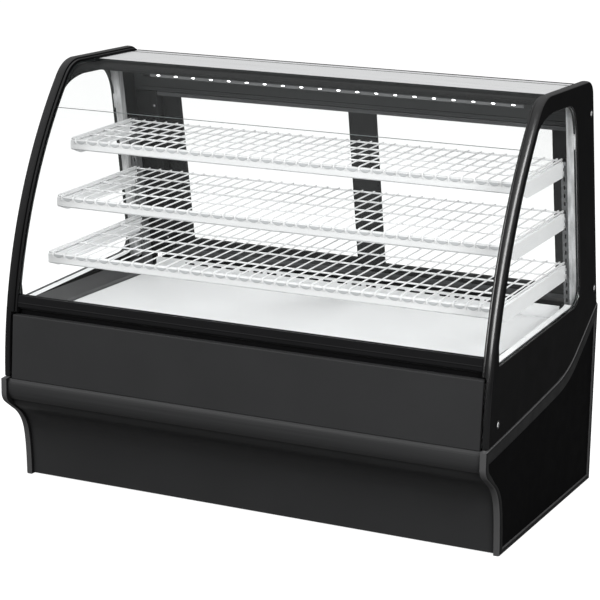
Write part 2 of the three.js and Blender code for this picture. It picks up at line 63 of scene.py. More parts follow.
# each shelf: its name, height and depth
SHELVES = [("upper", 994, 352), ("middle", 840, 462), ("lower", 684, 545)]
SKIN_IN = END_OUT - 5.5
# the slotted upright, its tube, and the recesses at the tube's ends; z runs up the leaning rear
UPRIGHT = {"x0": 693.5, "x1": 713, "front": -131, "back": -100, "z0": -18, "z1": 470}
POST = {"front": -147, "back": -121, "z0": 20, "z1": 648}
POST_BAY = {"front": -192, "z1": 124}
HEAD_BAY = {"front": -196, "z0": 545}
KICK_FOOT = 3
PARTING_Z = 329.2
WINDOW_INSET = 23
PAN_TOP, TUB_FLOOR = 16.4, 300.4
OPENING = {"left": -640, "right": 706, "top": 548}
DOOR = {"width": 690, "sill": 34, "head": 9, "z0": 16, "z1": 543, "thick": 15}
# each door: its side, its left edge, its running track, its light's two sides, its finger pull
DOORS = [("left", OPENING["left"] + 2, -25, 60, 635, 20),
         ("right", OPENING["right"] - 2 - DOOR["width"], -47, 79, 630, 650)]
EVAP_FANS = [("left", -420), ("right", -40)]
EVAP_FAN_Z = 378
COND_FAN = (-60, 128)
KNOB = (-530, 180)
SWITCH = (-580, 180)

SHOULDER_CZ = HEIGHT - SHOULDER_R
SHOULDER_CY = FRONT_CY - math.sqrt((FRONT_R - SHOULDER_R) ** 2 - (SHOULDER_CZ - FRONT_CZ) ** 2)
SHOULDER_ANGLE = math.atan2(SHOULDER_CZ - FRONT_CZ, SHOULDER_CY - FRONT_CY)

LEANING = Matrix.Translation((0, SILL_Y, SILL_Z)) @ Matrix.Rotation(LEAN, 4, "X")
ALONG_X = Matrix(((0, 0, 1, 0), (1, 0, 0, 0), (0, 1, 0, 0), (0, 0, 0, 1)))
ALONG_Y = Matrix(((1, 0, 0, 0), (0, 0, 1, 0), (0, 1, 0, 0), (0, 0, 0, 1)))
FACING_RIGHT = Matrix.Rotation(math.pi / 2, 4, "Y")
FACING_REAR = Matrix.Rotation(-math.pi / 2, 4, "X")
FACING_FRONT = Matrix.Rotation(math.pi / 2, 4, "X")


def at(x, y, z):
    return Matrix.Translation((x, y, z))


# ---------- materials ----------
def new_material(name):
    mat = bpy.data.materials.new(name)
    mat.use_nodes = True
    return mat, mat.node_tree, mat.node_tree.nodes["Principled BSDF"]


def feed(tree, node, inputs):
    """Links each input that is given a socket, and sets the others to the value given."""
    for key, value in inputs.items():
        if isinstance(value, bpy.types.NodeSocket):
            tree.links.new(value, node.inputs[key])
        else:
            node.inputs[key].default_value = value


def add_node(tree, kind, inputs=None, operation=None):
    node = tree.nodes.new(f"ShaderNode{kind}")
    if operation:
        node.operation = operation
    feed(tree, node, inputs or {})
    return node


def show_mix(tree, share, first, second):
    """The material shows the first shader, and the second one by the share."""
    mix = add_node(tree, "MixShader", {"Fac": share, 1: first.outputs["BSDF"], 2: second.outputs["BSDF"]})
    feed(tree, tree.nodes["Material Output"], {"Surface": mix.outputs["Shader"]})


def shade(name, color, rough, metal=0.0, specular=0.5, tone=0.05, tone_scale=6.0, spread=0.06,
          grain=0.0, grain_scale=900.0, stretch=(1, 1, 1), glow=0.0):
    """A surface with its own drift of colour and gloss, and a fine grain."""
    mat, tree, shader = new_material(name)
    coords = add_node(tree, "TexCoord").outputs["Object"]
    scaled = add_node(tree, "Mapping", {"Vector": coords, "Scale": stretch}).outputs["Vector"]

    def noise(scale, detail):
        return add_node(tree, "TexNoise", {"Vector": scaled, "Scale": scale, "Detail": detail}).outputs["Fac"]

    low, high = 0.3, 0.7    # nearly all of the noise lies between these
    ramp = add_node(tree, "ValToRGB", {"Fac": noise(tone_scale, 5)})
    for stop, place, change in zip(ramp.color_ramp.elements, (low, high), (1 - tone, 1 + tone)):
        stop.position = place
        stop.color = (*[min(c * change, 1) for c in color], 1)
    gloss = add_node(tree, "MapRange", {
        "Value": noise(tone_scale * 3.7, 6), "From Min": low, "From Max": high,
        "To Min": max(rough - spread, 0.02), "To Max": rough + spread})
    feed(tree, shader, {"Base Color": ramp.outputs["Color"], "Roughness": gloss.outputs["Result"],
                        "Metallic": metal, "Specular IOR Level": specular})
    if grain:
        bump = add_node(tree, "Bump", {
            "Height": noise(grain_scale, 3), "Strength": grain, "Distance": GRAIN_DEPTH})
        feed(tree, shader, {"Normal": bump.outputs["Normal"]})
    if glow:
        feed(tree, shader, {"Emission Color": (*color, 1), "Emission Strength": glow})
    return mat


def clear(name, tint, mirror, rim):
    """Thin clear glass: what is behind it shows, and it mirrors more towards its rim."""
    mat, tree, shader = new_material(name)
    feed(tree, shader, {"Base Color": (0.9, 0.93, 0.93, 1), "Metallic": 1.0, "Roughness": 0.02})
    through = add_node(tree, "BsdfTransparent", {"Color": (*tint, 1)})
    weight = add_node(tree, "LayerWeight", {"Blend": 0.5})
    power = add_node(tree, "Math", {0: weight.outputs["Facing"], 1: 5.0}, "POWER")
    share = add_node(tree, "MapRange", {"Value": power.outputs["Value"], "To Min": mirror, "To Max": rim})
    show_mix(tree, share.outputs["Result"], through, shader)
    return mat


BLACK = shade("black_enamel", (0.0055, 0.0055, 0.006), 0.38, specular=0.22, tone=0.08, spread=0.04)
MOULDED = shade("moulded_black", (0.005, 0.005, 0.0053), 0.2, specular=0.4, tone_scale=3, spread=0.02)
# a darker, duller copy of the moulded black for the end frames' flat side faces: painted shade
SIDE_SHADE_BLACK = shade("side_painted_shade_black", (0.0034, 0.0034, 0.0036), 0.5, specular=0.03, tone=0.04, tone_scale=3,
                   spread=0.03)
CHARCOAL = shade("charcoal_enamel", (0.024, 0.0243, 0.025), 0.42, specular=0.3, spread=0.04, grain=0.1,
                 grain_scale=1100)
BAND = shade("charcoal_brushed", (0.027, 0.0273, 0.028), 0.4, specular=0.3, tone=0.2, tone_scale=420,
             spread=0.1, grain=0.1, stretch=(0.004, 1, 1))
TRIM = shade("trim_grey", (0.062, 0.062, 0.063), 0.36, grain=0.06, grain_scale=1300)
# a much darker copy of the trim grey for the trim ring's side faces: painted shade
TRIM_SHADED_SIDE = shade("trim_painted_shade", (0.009, 0.0091, 0.0094), 0.45, specular=0.1, grain=0.06, grain_scale=1300)
INSET = shade("inset_black", (0.0024, 0.0024, 0.0026), 0.6, specular=0.02, spread=0.03)
HEADER = shade("header_charcoal", (0.040, 0.042, 0.0434), 0.38, specular=0.35, tone=0.3, tone_scale=300,
               spread=0.12, stretch=(0.006, 1, 1))
DOOR_BLACK = shade("door_black", (0.012, 0.0122, 0.0126), 0.42, specular=0.25, tone=0.08, spread=0.05)
CANOPY = shade("canopy_dark", (0.009, 0.0094, 0.0098), 0.34, specular=0.2, tone=0.95, tone_scale=110,
               spread=0.12, stretch=(0.008, 1, 1))
WHITE = shade("white_enamel", (0.84, 0.845, 0.85), 0.4, specular=0.4, tone=0.015, grain=0.08, grain_scale=800)
WIRE = shade("white_wire_coat", (0.80, 0.805, 0.81), 0.34, tone=0.02, grain=0.1, grain_scale=600)
# grey for the half-ellipses on the shelves' front rails: painted shadow between the wire ends
RAIL_SHADOW_GREY = shade("wire_rail_painted_shadow", (0.50, 0.51, 0.52), 0.45, specular=0.3, tone=0.04)
SILVER = shade("anodised_silver", (0.40, 0.41, 0.42), 0.4, metal=0.35, specular=0.4, tone=0.08,
               tone_scale=500, spread=0.08, grain=0.1, grain_scale=1200, stretch=(1, 1, 0.01))
TUBE = shade("brushed_tube", (0.56, 0.565, 0.57), 0.34, metal=0.25, tone=0.4, tone_scale=75, spread=0.08,
             stretch=(1, 1, 0.01))
CHANNEL = shade("channel_grey", (0.15, 0.153, 0.157), 0.4, metal=0.3, tone=0.15, tone_scale=80)
TRACK = shade("track_grey", (0.10, 0.103, 0.106), 0.4, metal=0.3, tone=0.1, tone_scale=60,
              stretch=(0.01, 1, 1))
BRACKET = shade("white_bracket", (0.93, 0.935, 0.94), 0.4, specular=0.4, tone=0.015)
TOP_METAL = shade("brushed_top", (0.66, 0.665, 0.67), 0.36, metal=0.3, tone=0.08, tone_scale=260,
                  spread=0.1, grain=0.1, stretch=(0.006, 1, 1))
ZINC = shade("galvanised", (0.42, 0.43, 0.44), 0.42, metal=0.85, tone=0.22, tone_scale=70, spread=0.12,
             grain=0.15, grain_scale=200)
FIN = shade("fin_aluminium", (0.6, 0.61, 0.62), 0.4, metal=0.9, tone=0.1, tone_scale=60, grain=0.1)
COPPER = shade("copper_tube", (0.55, 0.25, 0.13), 0.3, metal=0.95, tone=0.25, tone_scale=40, spread=0.12)
RUBBER = shade("black_rubber", (0.012, 0.012, 0.012), 0.75, specular=0.2, tone=0.2, grain=0.3,
               grain_scale=500)
STEEL = shade("bright_screw", (0.85, 0.85, 0.86), 0.25, metal=0.45, tone_scale=200)
BRONZE_BLACK = shade("compressor_black", (0.014, 0.014, 0.015), 0.42, specular=0.4, tone=0.2, grain=0.35,
                     grain_scale=260)
EDGE_BLACK = shade("painted_glass_edge", (0.012, 0.014, 0.014), 0.3, specular=0.4, tone=0.08)
GLASS_EDGE = shade("ground_glass_edge", (0.20, 0.24, 0.24), 0.3, tone=0.1, tone_scale=40)
GLASS = clear("clear_glass", (0.985, 0.988, 0.987), 0.012, 0.25)
LENS = shade("light_channel", (0.15, 0.153, 0.156), 0.35, metal=0.2, tone=0.06, tone_scale=90)
LED = shade("led_dot", (1.0, 1.0, 1.0), 0.3, tone=0.02, glow=9.0)
NUMERAL = shade("dial_mark", (0.75, 0.75, 0.75), 0.5)


# ---------- outlines: points are (y, z), or (across, up) ----------
def arc(cy, cz, r, a0, a1, n):
    return [(cy + r * math.cos(a0 + (a1 - a0) * i / n), cz + r * math.sin(a0 + (a1 - a0) * i / n))
            for i in range(n + 1)]


def bezier(points, n):
    """The curve from the first point to the last, pulled by the one or two between, without its start."""
    out = []
    for i in range(1, n + 1):
        t, level = i / n, [Vector(p) for p in points]
        while len(level) > 1:
            level = [a.lerp(b, t) for a, b in zip(level, level[1:])]
        out.append(tuple(level[0]))
    return out


def traced(start, *parts):
    """Points in turn; a part that is (pull, ..., end, count) is a curve that goes on from the last point."""
    out = [start]
    for part in parts:
        if isinstance(part[0], tuple):
            out += bezier([out[-1], *part[:-1]], part[-1])
        else:
            out.append(part)
    return out


def front_angle(z, inset=0.0):
    return math.pi - math.asin((z - FRONT_CZ) / (FRONT_R - inset))


def front_y(z, inset=0.0):
    return FRONT_CY + (FRONT_R - inset) * math.cos(front_angle(z, inset))


def lean_y(z):
    return SILL_Y - (z - SILL_Z) * math.tan(LEAN)


def front_arc(inset, a0, a1, n):
    return arc(FRONT_CY, FRONT_CZ, FRONT_R - inset, a0, a1, n)


def front_curve(z0, inset, n=64):
    rise = front_arc(inset, front_angle(z0, inset), SHOULDER_ANGLE, n)
    return rise + arc(SHOULDER_CY, SHOULDER_CZ, SHOULDER_R - inset, SHOULDER_ANGLE, math.pi / 2, n // 3)[1:]


def kick_curve(inset, start):
    def inward(y, z):
        return (y + inset, z)

    lip = inset * 0.4
    return traced(start, (inward(-318, 60), inward(-322, 108), inward(-332, 146), 14),
                  (inward(-346, 194), inward(-390, 222), 12), inward(-425, 247 + lip),
                  (inward(FRONT, 262 + lip), inward(FRONT, 282), 12))


def rounded(corners, r, n=4):
    """The polygon with each corner rounded to r, or to its own radius where a corner has one."""
    out = []
    for i, c in enumerate(corners):
        own = c[2] if len(c) > 2 else r
        p = Vector(c[:2])
        if own <= 0:
            out.append(tuple(p))
            continue
        before = Vector(corners[i - 1][:2]) - p
        after = Vector(corners[(i + 1) % len(corners)][:2]) - p
        half = before.angle(after) / 2
        back = min(own / math.tan(half), before.length * 0.49, after.length * 0.49)
        start, end = p + before.normalized() * back, p + after.normalized() * back
        out.append(tuple(start))
        out += bezier([tuple(start), tuple(p), tuple(end)], n)
    return out


def rect(u0, u1, v0, v1, r=0, n=4):
    return rounded([(u0, v0), (u1, v0), (u1, v1), (u0, v1)], r, n)


def circle(x, z, r, n=56):
    return [(x + r * math.cos(2 * math.pi * i / n), z + r * math.sin(2 * math.pi * i / n)) for i in range(n)]


def cleaned(points):
    """The loop without the points that fall on the one before."""
    return [p for i, p in enumerate(points) if math.dist(p, points[i - 1]) > 0.05]


def area(points):
    return sum(a[0] * b[1] - b[0] * a[1] for a, b in zip(points, points[1:] + points[:1])) / 2


def moved_in(points, d):
    """The loop moved by d to its left side, with its corners mitred."""
    out = []
    for i, p in enumerate(points):
        a = Vector(p) - Vector(points[i - 1])
        b = Vector(points[(i + 1) % len(points)]) - Vector(p)
        na = Vector((-a.y, a.x)).normalized()
        nb = Vector((-b.y, b.x)).normalized()
        out.append(tuple(Vector(p) + (na + nb) * (d / max(1 + na.dot(nb), 0.3))))
    return out


def shrunk(points, d):
    points = cleaned(points)
    return moved_in(points, d if area(points) > 0 else -d)


def round_rim(w0, w1, r, n=3):
    """How a plate's wall runs from w0 to w1 with its two edges rounded: (along, inward) pairs."""
    turns = [math.pi / 2 * i / n for i in range(n + 1)]
    steps = [(r * (1 - math.cos(t)), r * (1 - math.sin(t))) for t in turns]
    return [(w0 + w, d) for w, d in steps] + [(w1 - w, d) for w, d in reversed(steps)]


# ---------- shapes ----------
def as_mesh(bm, name="scratch"):
    mesh = bpy.data.meshes.new(name)
    bm.to_mesh(mesh)
    bm.free()
    return mesh


def pour(mesh, bm):
    """Adds the mesh to bm, and drops it."""
    bm.from_mesh(mesh)
    bpy.data.meshes.remove(mesh)


class Piece:
    """Closed shapes in millimetres, gathered into one mesh."""

    def __init__(self, bm=None):
        self.bm = bm or bmesh.new()

    def absorb(self, bm, turn=None, mat=0):
        bmesh.ops.recalc_face_normals(bm, faces=bm.faces)
        if turn is not None:
            bm.transform(turn)
            if turn.determinant() < 0:
                bmesh.ops.reverse_faces(bm, faces=bm.faces)
        for f in bm.faces:
            f.material_index = mat
            f.smooth = True
        pour(as_mesh(bm), self.bm)
        return self

    def block(self, x, y, z, r=1.0, turn=None, mat=0, steps=2):
        """A box with rounded edges; x, y and z are (low, high)."""
        bm = bmesh.new()
        bmesh.ops.create_cube(bm, size=1.0)
        for v in bm.verts:
            v.co = Vector(lo + (c + 0.5) * (hi - lo) for c, (lo, hi) in zip(v.co, (x, y, z)))
        if r > 0:
            r = min(r, *[(hi - lo) * 0.49 for lo, hi in (x, y, z)])
            bmesh.ops.bevel(bm, geom=bm.edges[:], offset=r, segments=steps, profile=0.5, affect="EDGES")
        return self.absorb(bm, turn, mat)

    def shell(self, outline, rim, holes=(), hole_rim=None, turn=ALONG_X, mat=0):
        """A flat outline with holes, extruded with shaped edges."""
        outline = cleaned(outline)
        loops = [outline if area(outline) > 0 else outline[::-1]]
        for hole in holes:
            hole = cleaned(hole)
            loops.append(hole if area(hole) < 0 else hole[::-1])
        bm = bmesh.new()
        ends = ([], [])
        for k, loop in enumerate(loops):
            wall = rim if k == 0 or hole_rim is None else hole_rim
            rows = [[bm.verts.new((u, v, w)) for u, v in moved_in(loop, d)] for w, d in wall]
            n = len(loop)
            for a, b in zip(rows, rows[1:]):
                for i in range(n):
                    bm.faces.new((a[i], a[(i + 1) % n], b[(i + 1) % n], b[i]))
            ends[0].append(rows[0])
            ends[1].append(rows[-1])
        for loops_at_end in ends:
            flat = [v for loop in loops_at_end for v in loop]
            for tri in tessellate_polygon([[v.co for v in loop] for loop in loops_at_end]):
                try:
                    bm.faces.new([flat[i] for i in tri])
                except ValueError:
                    pass
        return self.absorb(bm, turn, mat)

    def rod(self, path, radius, sides=8, closed=False, turn=None, mat=0):
        """A round bar along a path; radius is one number, or one for each point."""
        points = [Vector(p) for p in path]
        n = len(points)
        radii = radius if isinstance(radius, (list, tuple)) else [radius] * n
        bm = bmesh.new()
        rings, side = [], None
        for i, p in enumerate(points):
            if closed:
                along = points[(i + 1) % n] - points[i - 1]
            else:
                along = points[min(i + 1, n - 1)] - points[max(i - 1, 0)]
            along.normalize()
            if side is None:
                side = along.orthogonal().normalized()
            side = (side - along * side.dot(along)).normalized()
            other = along.cross(side)
            rings.append([bm.verts.new(p + radii[i] * (side * math.cos(t) + other * math.sin(t)))
                          for t in (2 * math.pi * k / sides for k in range(sides))])
        pairs = list(zip(rings, rings[1:]))
        if closed:
            pairs.append((rings[-1], rings[0]))
        for a, b in pairs:
            for k in range(sides):
                bm.faces.new((a[k], a[(k + 1) % sides], b[(k + 1) % sides], b[k]))
        if not closed:
            bm.faces.new(rings[0][::-1])
            bm.faces.new(rings[-1])
        return self.absorb(bm, turn, mat)

    def lathe(self, profile, place, sides=32, mat=0, wave=0.0):
        """(radius, height) pairs turned about local Z; wave makes every second side stand back."""
        bm = bmesh.new()
        rings = []
        for r, h in profile:
            if r < 1e-6:
                rings.append([bm.verts.new((0, 0, h))])
                continue
            ring = [(r - wave * (k % 2), 2 * math.pi * k / sides) for k in range(sides)]
            rings.append([bm.verts.new((out * math.cos(t), out * math.sin(t), h)) for out, t in ring])
        for a, b in zip(rings, rings[1:]):
            for k in range(sides):
                m = (k + 1) % sides
                if len(a) == 1:
                    bm.faces.new((a[0], b[k], b[m]))
                elif len(b) == 1:
                    bm.faces.new((a[k], b[0], a[m]))
                else:
                    bm.faces.new((a[k], b[k], b[m], a[m]))
        for ring in (rings[0], rings[-1]):
            if len(ring) > 1:
                bm.faces.new(ring)
        return self.absorb(bm, place, mat)

    def blade(self, inner, outer, pitch, chord, place):
        """One fan blade from radius inner to outer, twisted and dished."""
        bm = bmesh.new()
        steps = across = 6
        half = Vector((0, 0, 0.7))
        faces = ([], [])
        for i in range(steps + 1):
            s = i / steps
            width = chord * (0.7 + 0.55 * s - 0.35 * s * s)
            turn = Matrix.Rotation(pitch * (1.15 - 0.45 * s), 4, "X")
            row = []
            for k in range(across + 1):
                side = 2 * k / across - 1
                reach = inner + (outer - inner) * s * (1 - 0.06 * side * side)
                row.append(turn @ Vector((reach, side / 2 * width, 0.1 * width * (1 - side * side))))
            for face, lift in zip(faces, (half, -half)):
                face.append([bm.verts.new(p + lift) for p in row])
        top, low = faces
        for face in faces:
            for a, b in zip(face, face[1:]):
                for k in range(across):
                    bm.faces.new((a[k], b[k], b[k + 1], a[k + 1]))
        rim = ([(i, 0) for i in range(steps)] + [(steps, k) for k in range(across)]
               + [(i, across) for i in range(steps, 0, -1)] + [(0, k) for k in range(across, 0, -1)])
        for (i, k), (j, m) in zip(rim, rim[1:] + rim[:1]):
            bm.faces.new((top[i][k], top[j][m], low[j][m], low[i][k]))
        return self.absorb(bm, place)

    def mirrored(self):
        other = self.bm.copy()
        other.transform(Matrix.Scale(-1, 4, (1, 0, 0)))
        bmesh.ops.reverse_faces(other, faces=other.faces)
        return Piece(other)

    def mesh(self, name="scratch"):
        """The piece as a mesh, in metres; the piece is used up."""
        self.bm.transform(Matrix.Scale(MM, 4))
        return as_mesh(self.bm, name)

    def make(self, name, materials, *more, **named):
        return place_mesh(self.mesh(name), name, materials, *more, **named)


def place_mesh(mesh, name, materials, body="case", replaces=(), slot=None, sharp=38, tools=()):
    for mat in materials if isinstance(materials, (list, tuple)) else [materials]:
        mesh.materials.append(mat)
    obj = bpy.data.objects.new(name, mesh)
    bpy.context.scene.collection.objects.link(obj)
    for tool in tools:
        cut_out(obj, tool)
    obj.data.shade_smooth()
    obj.data.set_sharp_from_angle(angle=math.radians(sharp))
    even = obj.modifiers.new("even", "WEIGHTED_NORMAL")
    even.keep_sharp = True
    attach(obj, body)
    if replaces:
        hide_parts(*([replaces] if isinstance(replaces, str) else replaces))
    return obj


def cut_out(obj, tool):
    """Takes the tool piece, in millimetres, out of obj for good."""
    mesh = tool.mesh()
    cutter = bpy.data.objects.new("tool", mesh)
    bpy.context.scene.collection.objects.link(cutter)
    cut = obj.modifiers.new("cut", "BOOLEAN")
    cut.operation = "DIFFERENCE"
    cut.solver = "EXACT"
    cut.object = cutter
    graph = bpy.context.evaluated_depsgraph_get()
    result = bpy.data.meshes.new_from_object(obj.evaluated_get(graph))
    obj.modifiers.clear()
    old = obj.data
    obj.data = result
    bpy.data.meshes.remove(old)
    bpy.data.objects.remove(cutter)
    bpy.data.meshes.remove(mesh)


def softened(node, materials, slot, r=1.0, steps=2, extra=None):
    """A CAD node's shape with its edges rounded, and further shapes with it if extra is given."""
    bm = bmesh.new()
    bm.from_mesh(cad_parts[node].data)
    bmesh.ops.remove_doubles(bm, verts=bm.verts, dist=1e-6)
    bmesh.ops.dissolve_limit(bm, angle_limit=math.radians(0.5), verts=bm.verts, edges=bm.edges)
    edges = [e for e in bm.edges if len(e.link_faces) == 2 and e.calc_face_angle(0) > math.radians(25)]
    bmesh.ops.bevel(bm, geom=edges, offset=r * MM, segments=steps, profile=0.5, affect="EDGES",
                    clamp_overlap=True)
    for f in bm.faces:
        f.material_index = 0
    if extra is not None:
        pour(extra.mesh(), bm)
    name = f"{node}_body"
    return place_mesh(as_mesh(bm, name), name, materials, "case", node, slot)


def both(piece, stem, node, materials, slot, tools=(), **more):
    """The piece at the right end, and its mirror image at the left; gives back the right one."""
    mirrored = piece.mirrored()
    mirrored_tools = [tool.mirrored() for tool in tools]
    made = [part.make(f"{stem}_{side}", materials, replaces=f"{node}_{side}" if node else (), slot=slot,
                      tools=cutters, **more)
            for side, part, cutters in (("right", piece, tools), ("left", mirrored, mirrored_tools))]
    return made[0]


def mark(piece, test, index=1):
    """Gives the faces that test picks out another of the piece's materials."""
    piece.bm.normal_update()
    for f in piece.bm.faces:
        if test(f):
            f.material_index = index


def screw(piece, place, r=4.0, mat=0, recess_mat=1):
    """A low domed screw head with a cross recess."""
    piece.lathe([(0, -1), (r, -1), (r, 0.2 * r), (0.86 * r, 0.36 * r), (0.5 * r, 0.47 * r), (0, 0.5 * r)],
                place, 20, mat)
    for turn in (0, math.pi / 2):
        piece.block((-0.62 * r, 0.62 * r), (-0.14 * r, 0.14 * r), (0.3 * r, 0.53 * r), 0,
                    place @ Matrix.Rotation(turn, 4, "Z"), recess_mat)


# ---------- upper end frames with their glass and bolts ----------
WINDOW = (traced((-372, 545), (215, 573), ((282, 577), (272, 640), 12), (188, 1060),
                 ((170, 1166), (100, 1168), 14), (-32, 1168), ((-112, 1160), (-143, 1130), 12))
          + front_arc(WINDOW_INSET, front_angle(1110, WINDOW_INSET), front_angle(600, WINDOW_INSET), 44))


def frame_outline():
    corner_z = HEIGHT - REAR_CORNER_R
    corner_y = lean_y(corner_z) - REAR_CORNER_R / math.cos(LEAN)
    rear = arc(corner_y, corner_z, REAR_CORNER_R, math.pi / 2, LEAN, 14)
    foot = traced((441, 542.4), (270, 433.4), ((202, 390.4), (100, 380.2), 12),
                  ((-170, 351), (front_y(PARTING_Z), PARTING_Z), 24))[:-1]
    return front_curve(PARTING_Z, 0) + rear + foot


def end_frames():
    lip = [(END_IN, 7.6), (END_IN + 0.5, 6.6), (END_IN + 1.6, 6.0), (722.4, 6.0), (723.2, 6.6), (723.8, 7.4)]
    crown = [(724.4, 5.0), (725.0, 2.6), (726.6, 1.5), (730.0, 0.6), (735.0, 0.05), (740.0, 0.05),
             (744.0, 0.5), (747.0, 1.2), (749.0, 2.3), (750.1, 3.6), (END_OUT, 5.2)]
    ledge = SKIN_IN - 0.5 - GLASS_T
    reveal = round_rim(END_IN, END_OUT, 1.6)
    reveal.insert(len(reveal) // 2, (ledge, 0))
    piece = Piece().shell(frame_outline(), lip + crown, [WINDOW], reveal)
    # the flat side faces take the darker, duller copy of the black: painted shade
    mark(piece, lambda f: abs(f.normal.x) > 0.97)
    mark(piece, lambda f: (f.normal.z > 0.6 and 540 < f.calc_center_median().z < 600
                           and abs(f.calc_center_median().x) < ledge), 2)

    # room for the lower body's side, and for the upright's tube with its two brackets
    gap = 0.6
    recess = (END_IN - 2, SKIN_IN)
    low, high = POST["z0"] - gap, POST["z1"] + gap
    tools = [Piece().block((END_IN - 2, TRIM_IN), (-460, 460), (280, PANEL_TOP + 8), 0)]
    for y, z in (((POST["front"] - gap, POST["back"] + gap), (low, high)),
                 ((POST_BAY["front"], POST["front"]), (low, POST_BAY["z1"])),
                 ((HEAD_BAY["front"], POST["front"]), (HEAD_BAY["z0"], high))):
        tools.append(Piece().block(recess, y, z, 0, LEANING))
    right_frame = both(piece, "end_frame", "upper_end_frame", [MOULDED, SIDE_SHADE_BLACK, WHITE], "black_plastic",
                       tools, sharp=30)

    bolts = Piece()
    for y, z in ((297, 1124), (404, 597), (-368, 385)):
        place = at(END_OUT, y, z) @ FACING_RIGHT
        bolts.lathe([(0, -2), (12.2, -2), (12.2, 0.5), (11.4, 1.3), (9.4, 1.5), (7.6, 0.9), (7.2, 0.2),
                     (0, 0.2)], place, 36)
        bolts.lathe([(0, 0), (6.8, 0), (6.8, 0.9), (5.6, 1.5), (3, 1.8), (0, 1.9)], place, 24, 1)
        for turn in (0.3, 0.3 + math.pi / 2):
            bolts.block((-3.9, 3.9), (-0.8, 0.8), (1.2, 1.95), 0, place @ Matrix.Rotation(turn, 4, "Z"), 0)
    both(bolts, "end_bolts", None, [BLACK, STEEL], "black_plastic")
    return right_frame


def end_glass():
    outer = SKIN_IN - 0.5
    pane = Piece().shell(shrunk(WINDOW, 1.0), round_rim(outer - GLASS_T, outer, 0.8, n=2))
    mark(pane, lambda f: abs(f.normal.x) < 0.7)
    both(pane, "end_pane", "end_glass", [GLASS, EDGE_BLACK], "clear_glass")


# ---------- base ends ----------
def base_ends():
    arch = traced((FRONT, 327), ((-170, 349), (100, 378), 24), ((202, 388), (270, 431), 12))
    ring = [(REAR, 545), (REAR, 0)] + kick_curve(0, (-316, 0)) + arch
    inner_arch = traced((FRONT + 18, 292), ((-170, 313), (100, 342), 24), ((202, 352), (270, 395), 12))
    hole = [(REAR - 16, 500), (REAR - 16, 16)] + kick_curve(18, (-298, 16.2)) + inner_arch
    edge = [(TRIM_IN, 1.6), (TRIM_IN + 0.5, 0.5), (TRIM_IN + 1.6, 0), (745.5, 0), (748.2, 0.45), (750.4, 1.5),
            (751.8, 3.2), (HALF, 5.4)]
    inside = [(TRIM_IN, 0.8), (TRIM_IN + 0.8, 0), (751, 0), (752, 0.4), (HALF, 1.4)]
    trim = Piece().shell(ring, edge, [hole], inside)
    # the trim ring's side faces take the darker copy of the grey: painted shade
    mark(trim, lambda f: abs(f.normal.x) > 0.6)
    both(trim, "base_trim_ring", "base_trim", [TRIM, TRIM_SHADED_SIDE], "charcoal_enamel", sharp=30)
    panel = Piece().shell(shrunk(hole, 0.9), round_rim(TRIM_IN + 2, HALF - 5, 0.8, n=2))
    both(panel, "base_inset", "base_end_panel", INSET, "inset_black")


# ---------- front of the base ----------
def base_front():
    top, low = front_y(PANEL_TOP, -1), front_y(BAND_TOP, -1)
    face = rounded([(top, PANEL_TOP, 2.6), (low, BAND_TOP + 1.2, 1.2), (low + 12, BAND_TOP + 1.2, 0),
                    (top + 12, PANEL_TOP - 10, 0), (top + 22, PANEL_TOP - 10, 0),
                    (top + 22, PANEL_TOP, 1)], 1)
    Piece().shell(face, round_rim(-HALF + 28, HALF - 28, 1.0)).make(
        "front_face_panel", CHARCOAL, replaces="front_panel", slot="charcoal_enamel")

    band = traced((-429, BAND_TOP), ((-439, 318), (-439, 302), 12), ((-439, 278), (-424, BAND_LOW), 14),
                  (-414, BAND_LOW + 5), ((-429, 282), (-429, 302), 10), (-418, BAND_TOP))
    Piece().shell(band, round_rim(-TRIM_IN + 0.4, TRIM_IN - 0.4, 0.8)).make(
        "lower_band", BAND, replaces="lower_front_band", slot="charcoal_enamel", sharp=30)

    kick = traced((-306, KICK_FOOT), ((-308, 60), (-312, 108), (-322, 146), 16),
                  ((-336, 194), (-380, 222), 14),
                  (-409, 243), (-410, 259), (-406, 259), (-404, 249), (-376, 230),
                  ((-330, 200), (-316, 150), 12), ((-304, 110), (-302, 60), (-300, KICK_FOOT), 12))
    Piece().shell(kick, round_rim(-TRIM_IN + 0.4, TRIM_IN - 0.4, 0.6)).make(
        "kick_plate", CHARCOAL, replaces="kick_panel", slot="charcoal_enamel", sharp=50)

    softened("front_sill", BLACK, "black_enamel", 0.8)
    fins = Piece()
    first, count, pitch, width = -684, 58, 24, 15
    for x in range(first, first + count * pitch, pitch):
        fins.block((x, x + width), (-375, -362), (522, 527.4), 0.8)
    fins.make("sill_air_fins", RUBBER, slot="black_enamel")


# ---------- floor, tub, deck and sills ----------
def lower_body():
    # the base pan takes the near-black inset paint so that the toe gap under the kick plate shows dark:
    # painted shade
    softened("base_pan", INSET, "black_enamel", 1.2)
    for side in ("left", "right"):
        softened(f"floor_skid_{side}", RUBBER, "glide_rubber", 1.5)
        softened(f"side_sill_{side}", TRIM, "charcoal_enamel", 1.2)
    softened("insulated_tub", WHITE, "white_enamel", 3.0, 3)
    softened("deck_panel", WHITE, "white_enamel", 1.4, 2)

    half, top, count, reach = 672, 548, 24, 576
    middles = [reach * ((2 * i + 1) / count - 1) for i in range(count)]
    Piece().shell(rect(-half, half, DECK_Z, top), round_rim(328, 332, 1.0, n=2),
                  [rect(x - 17, x + 17, top - 14, top - 8, 2.9, 3) for x in middles], turn=ALONG_Y).make(
        "return_grille", WHITE, replaces="rear_air_grille", slot="white_enamel")


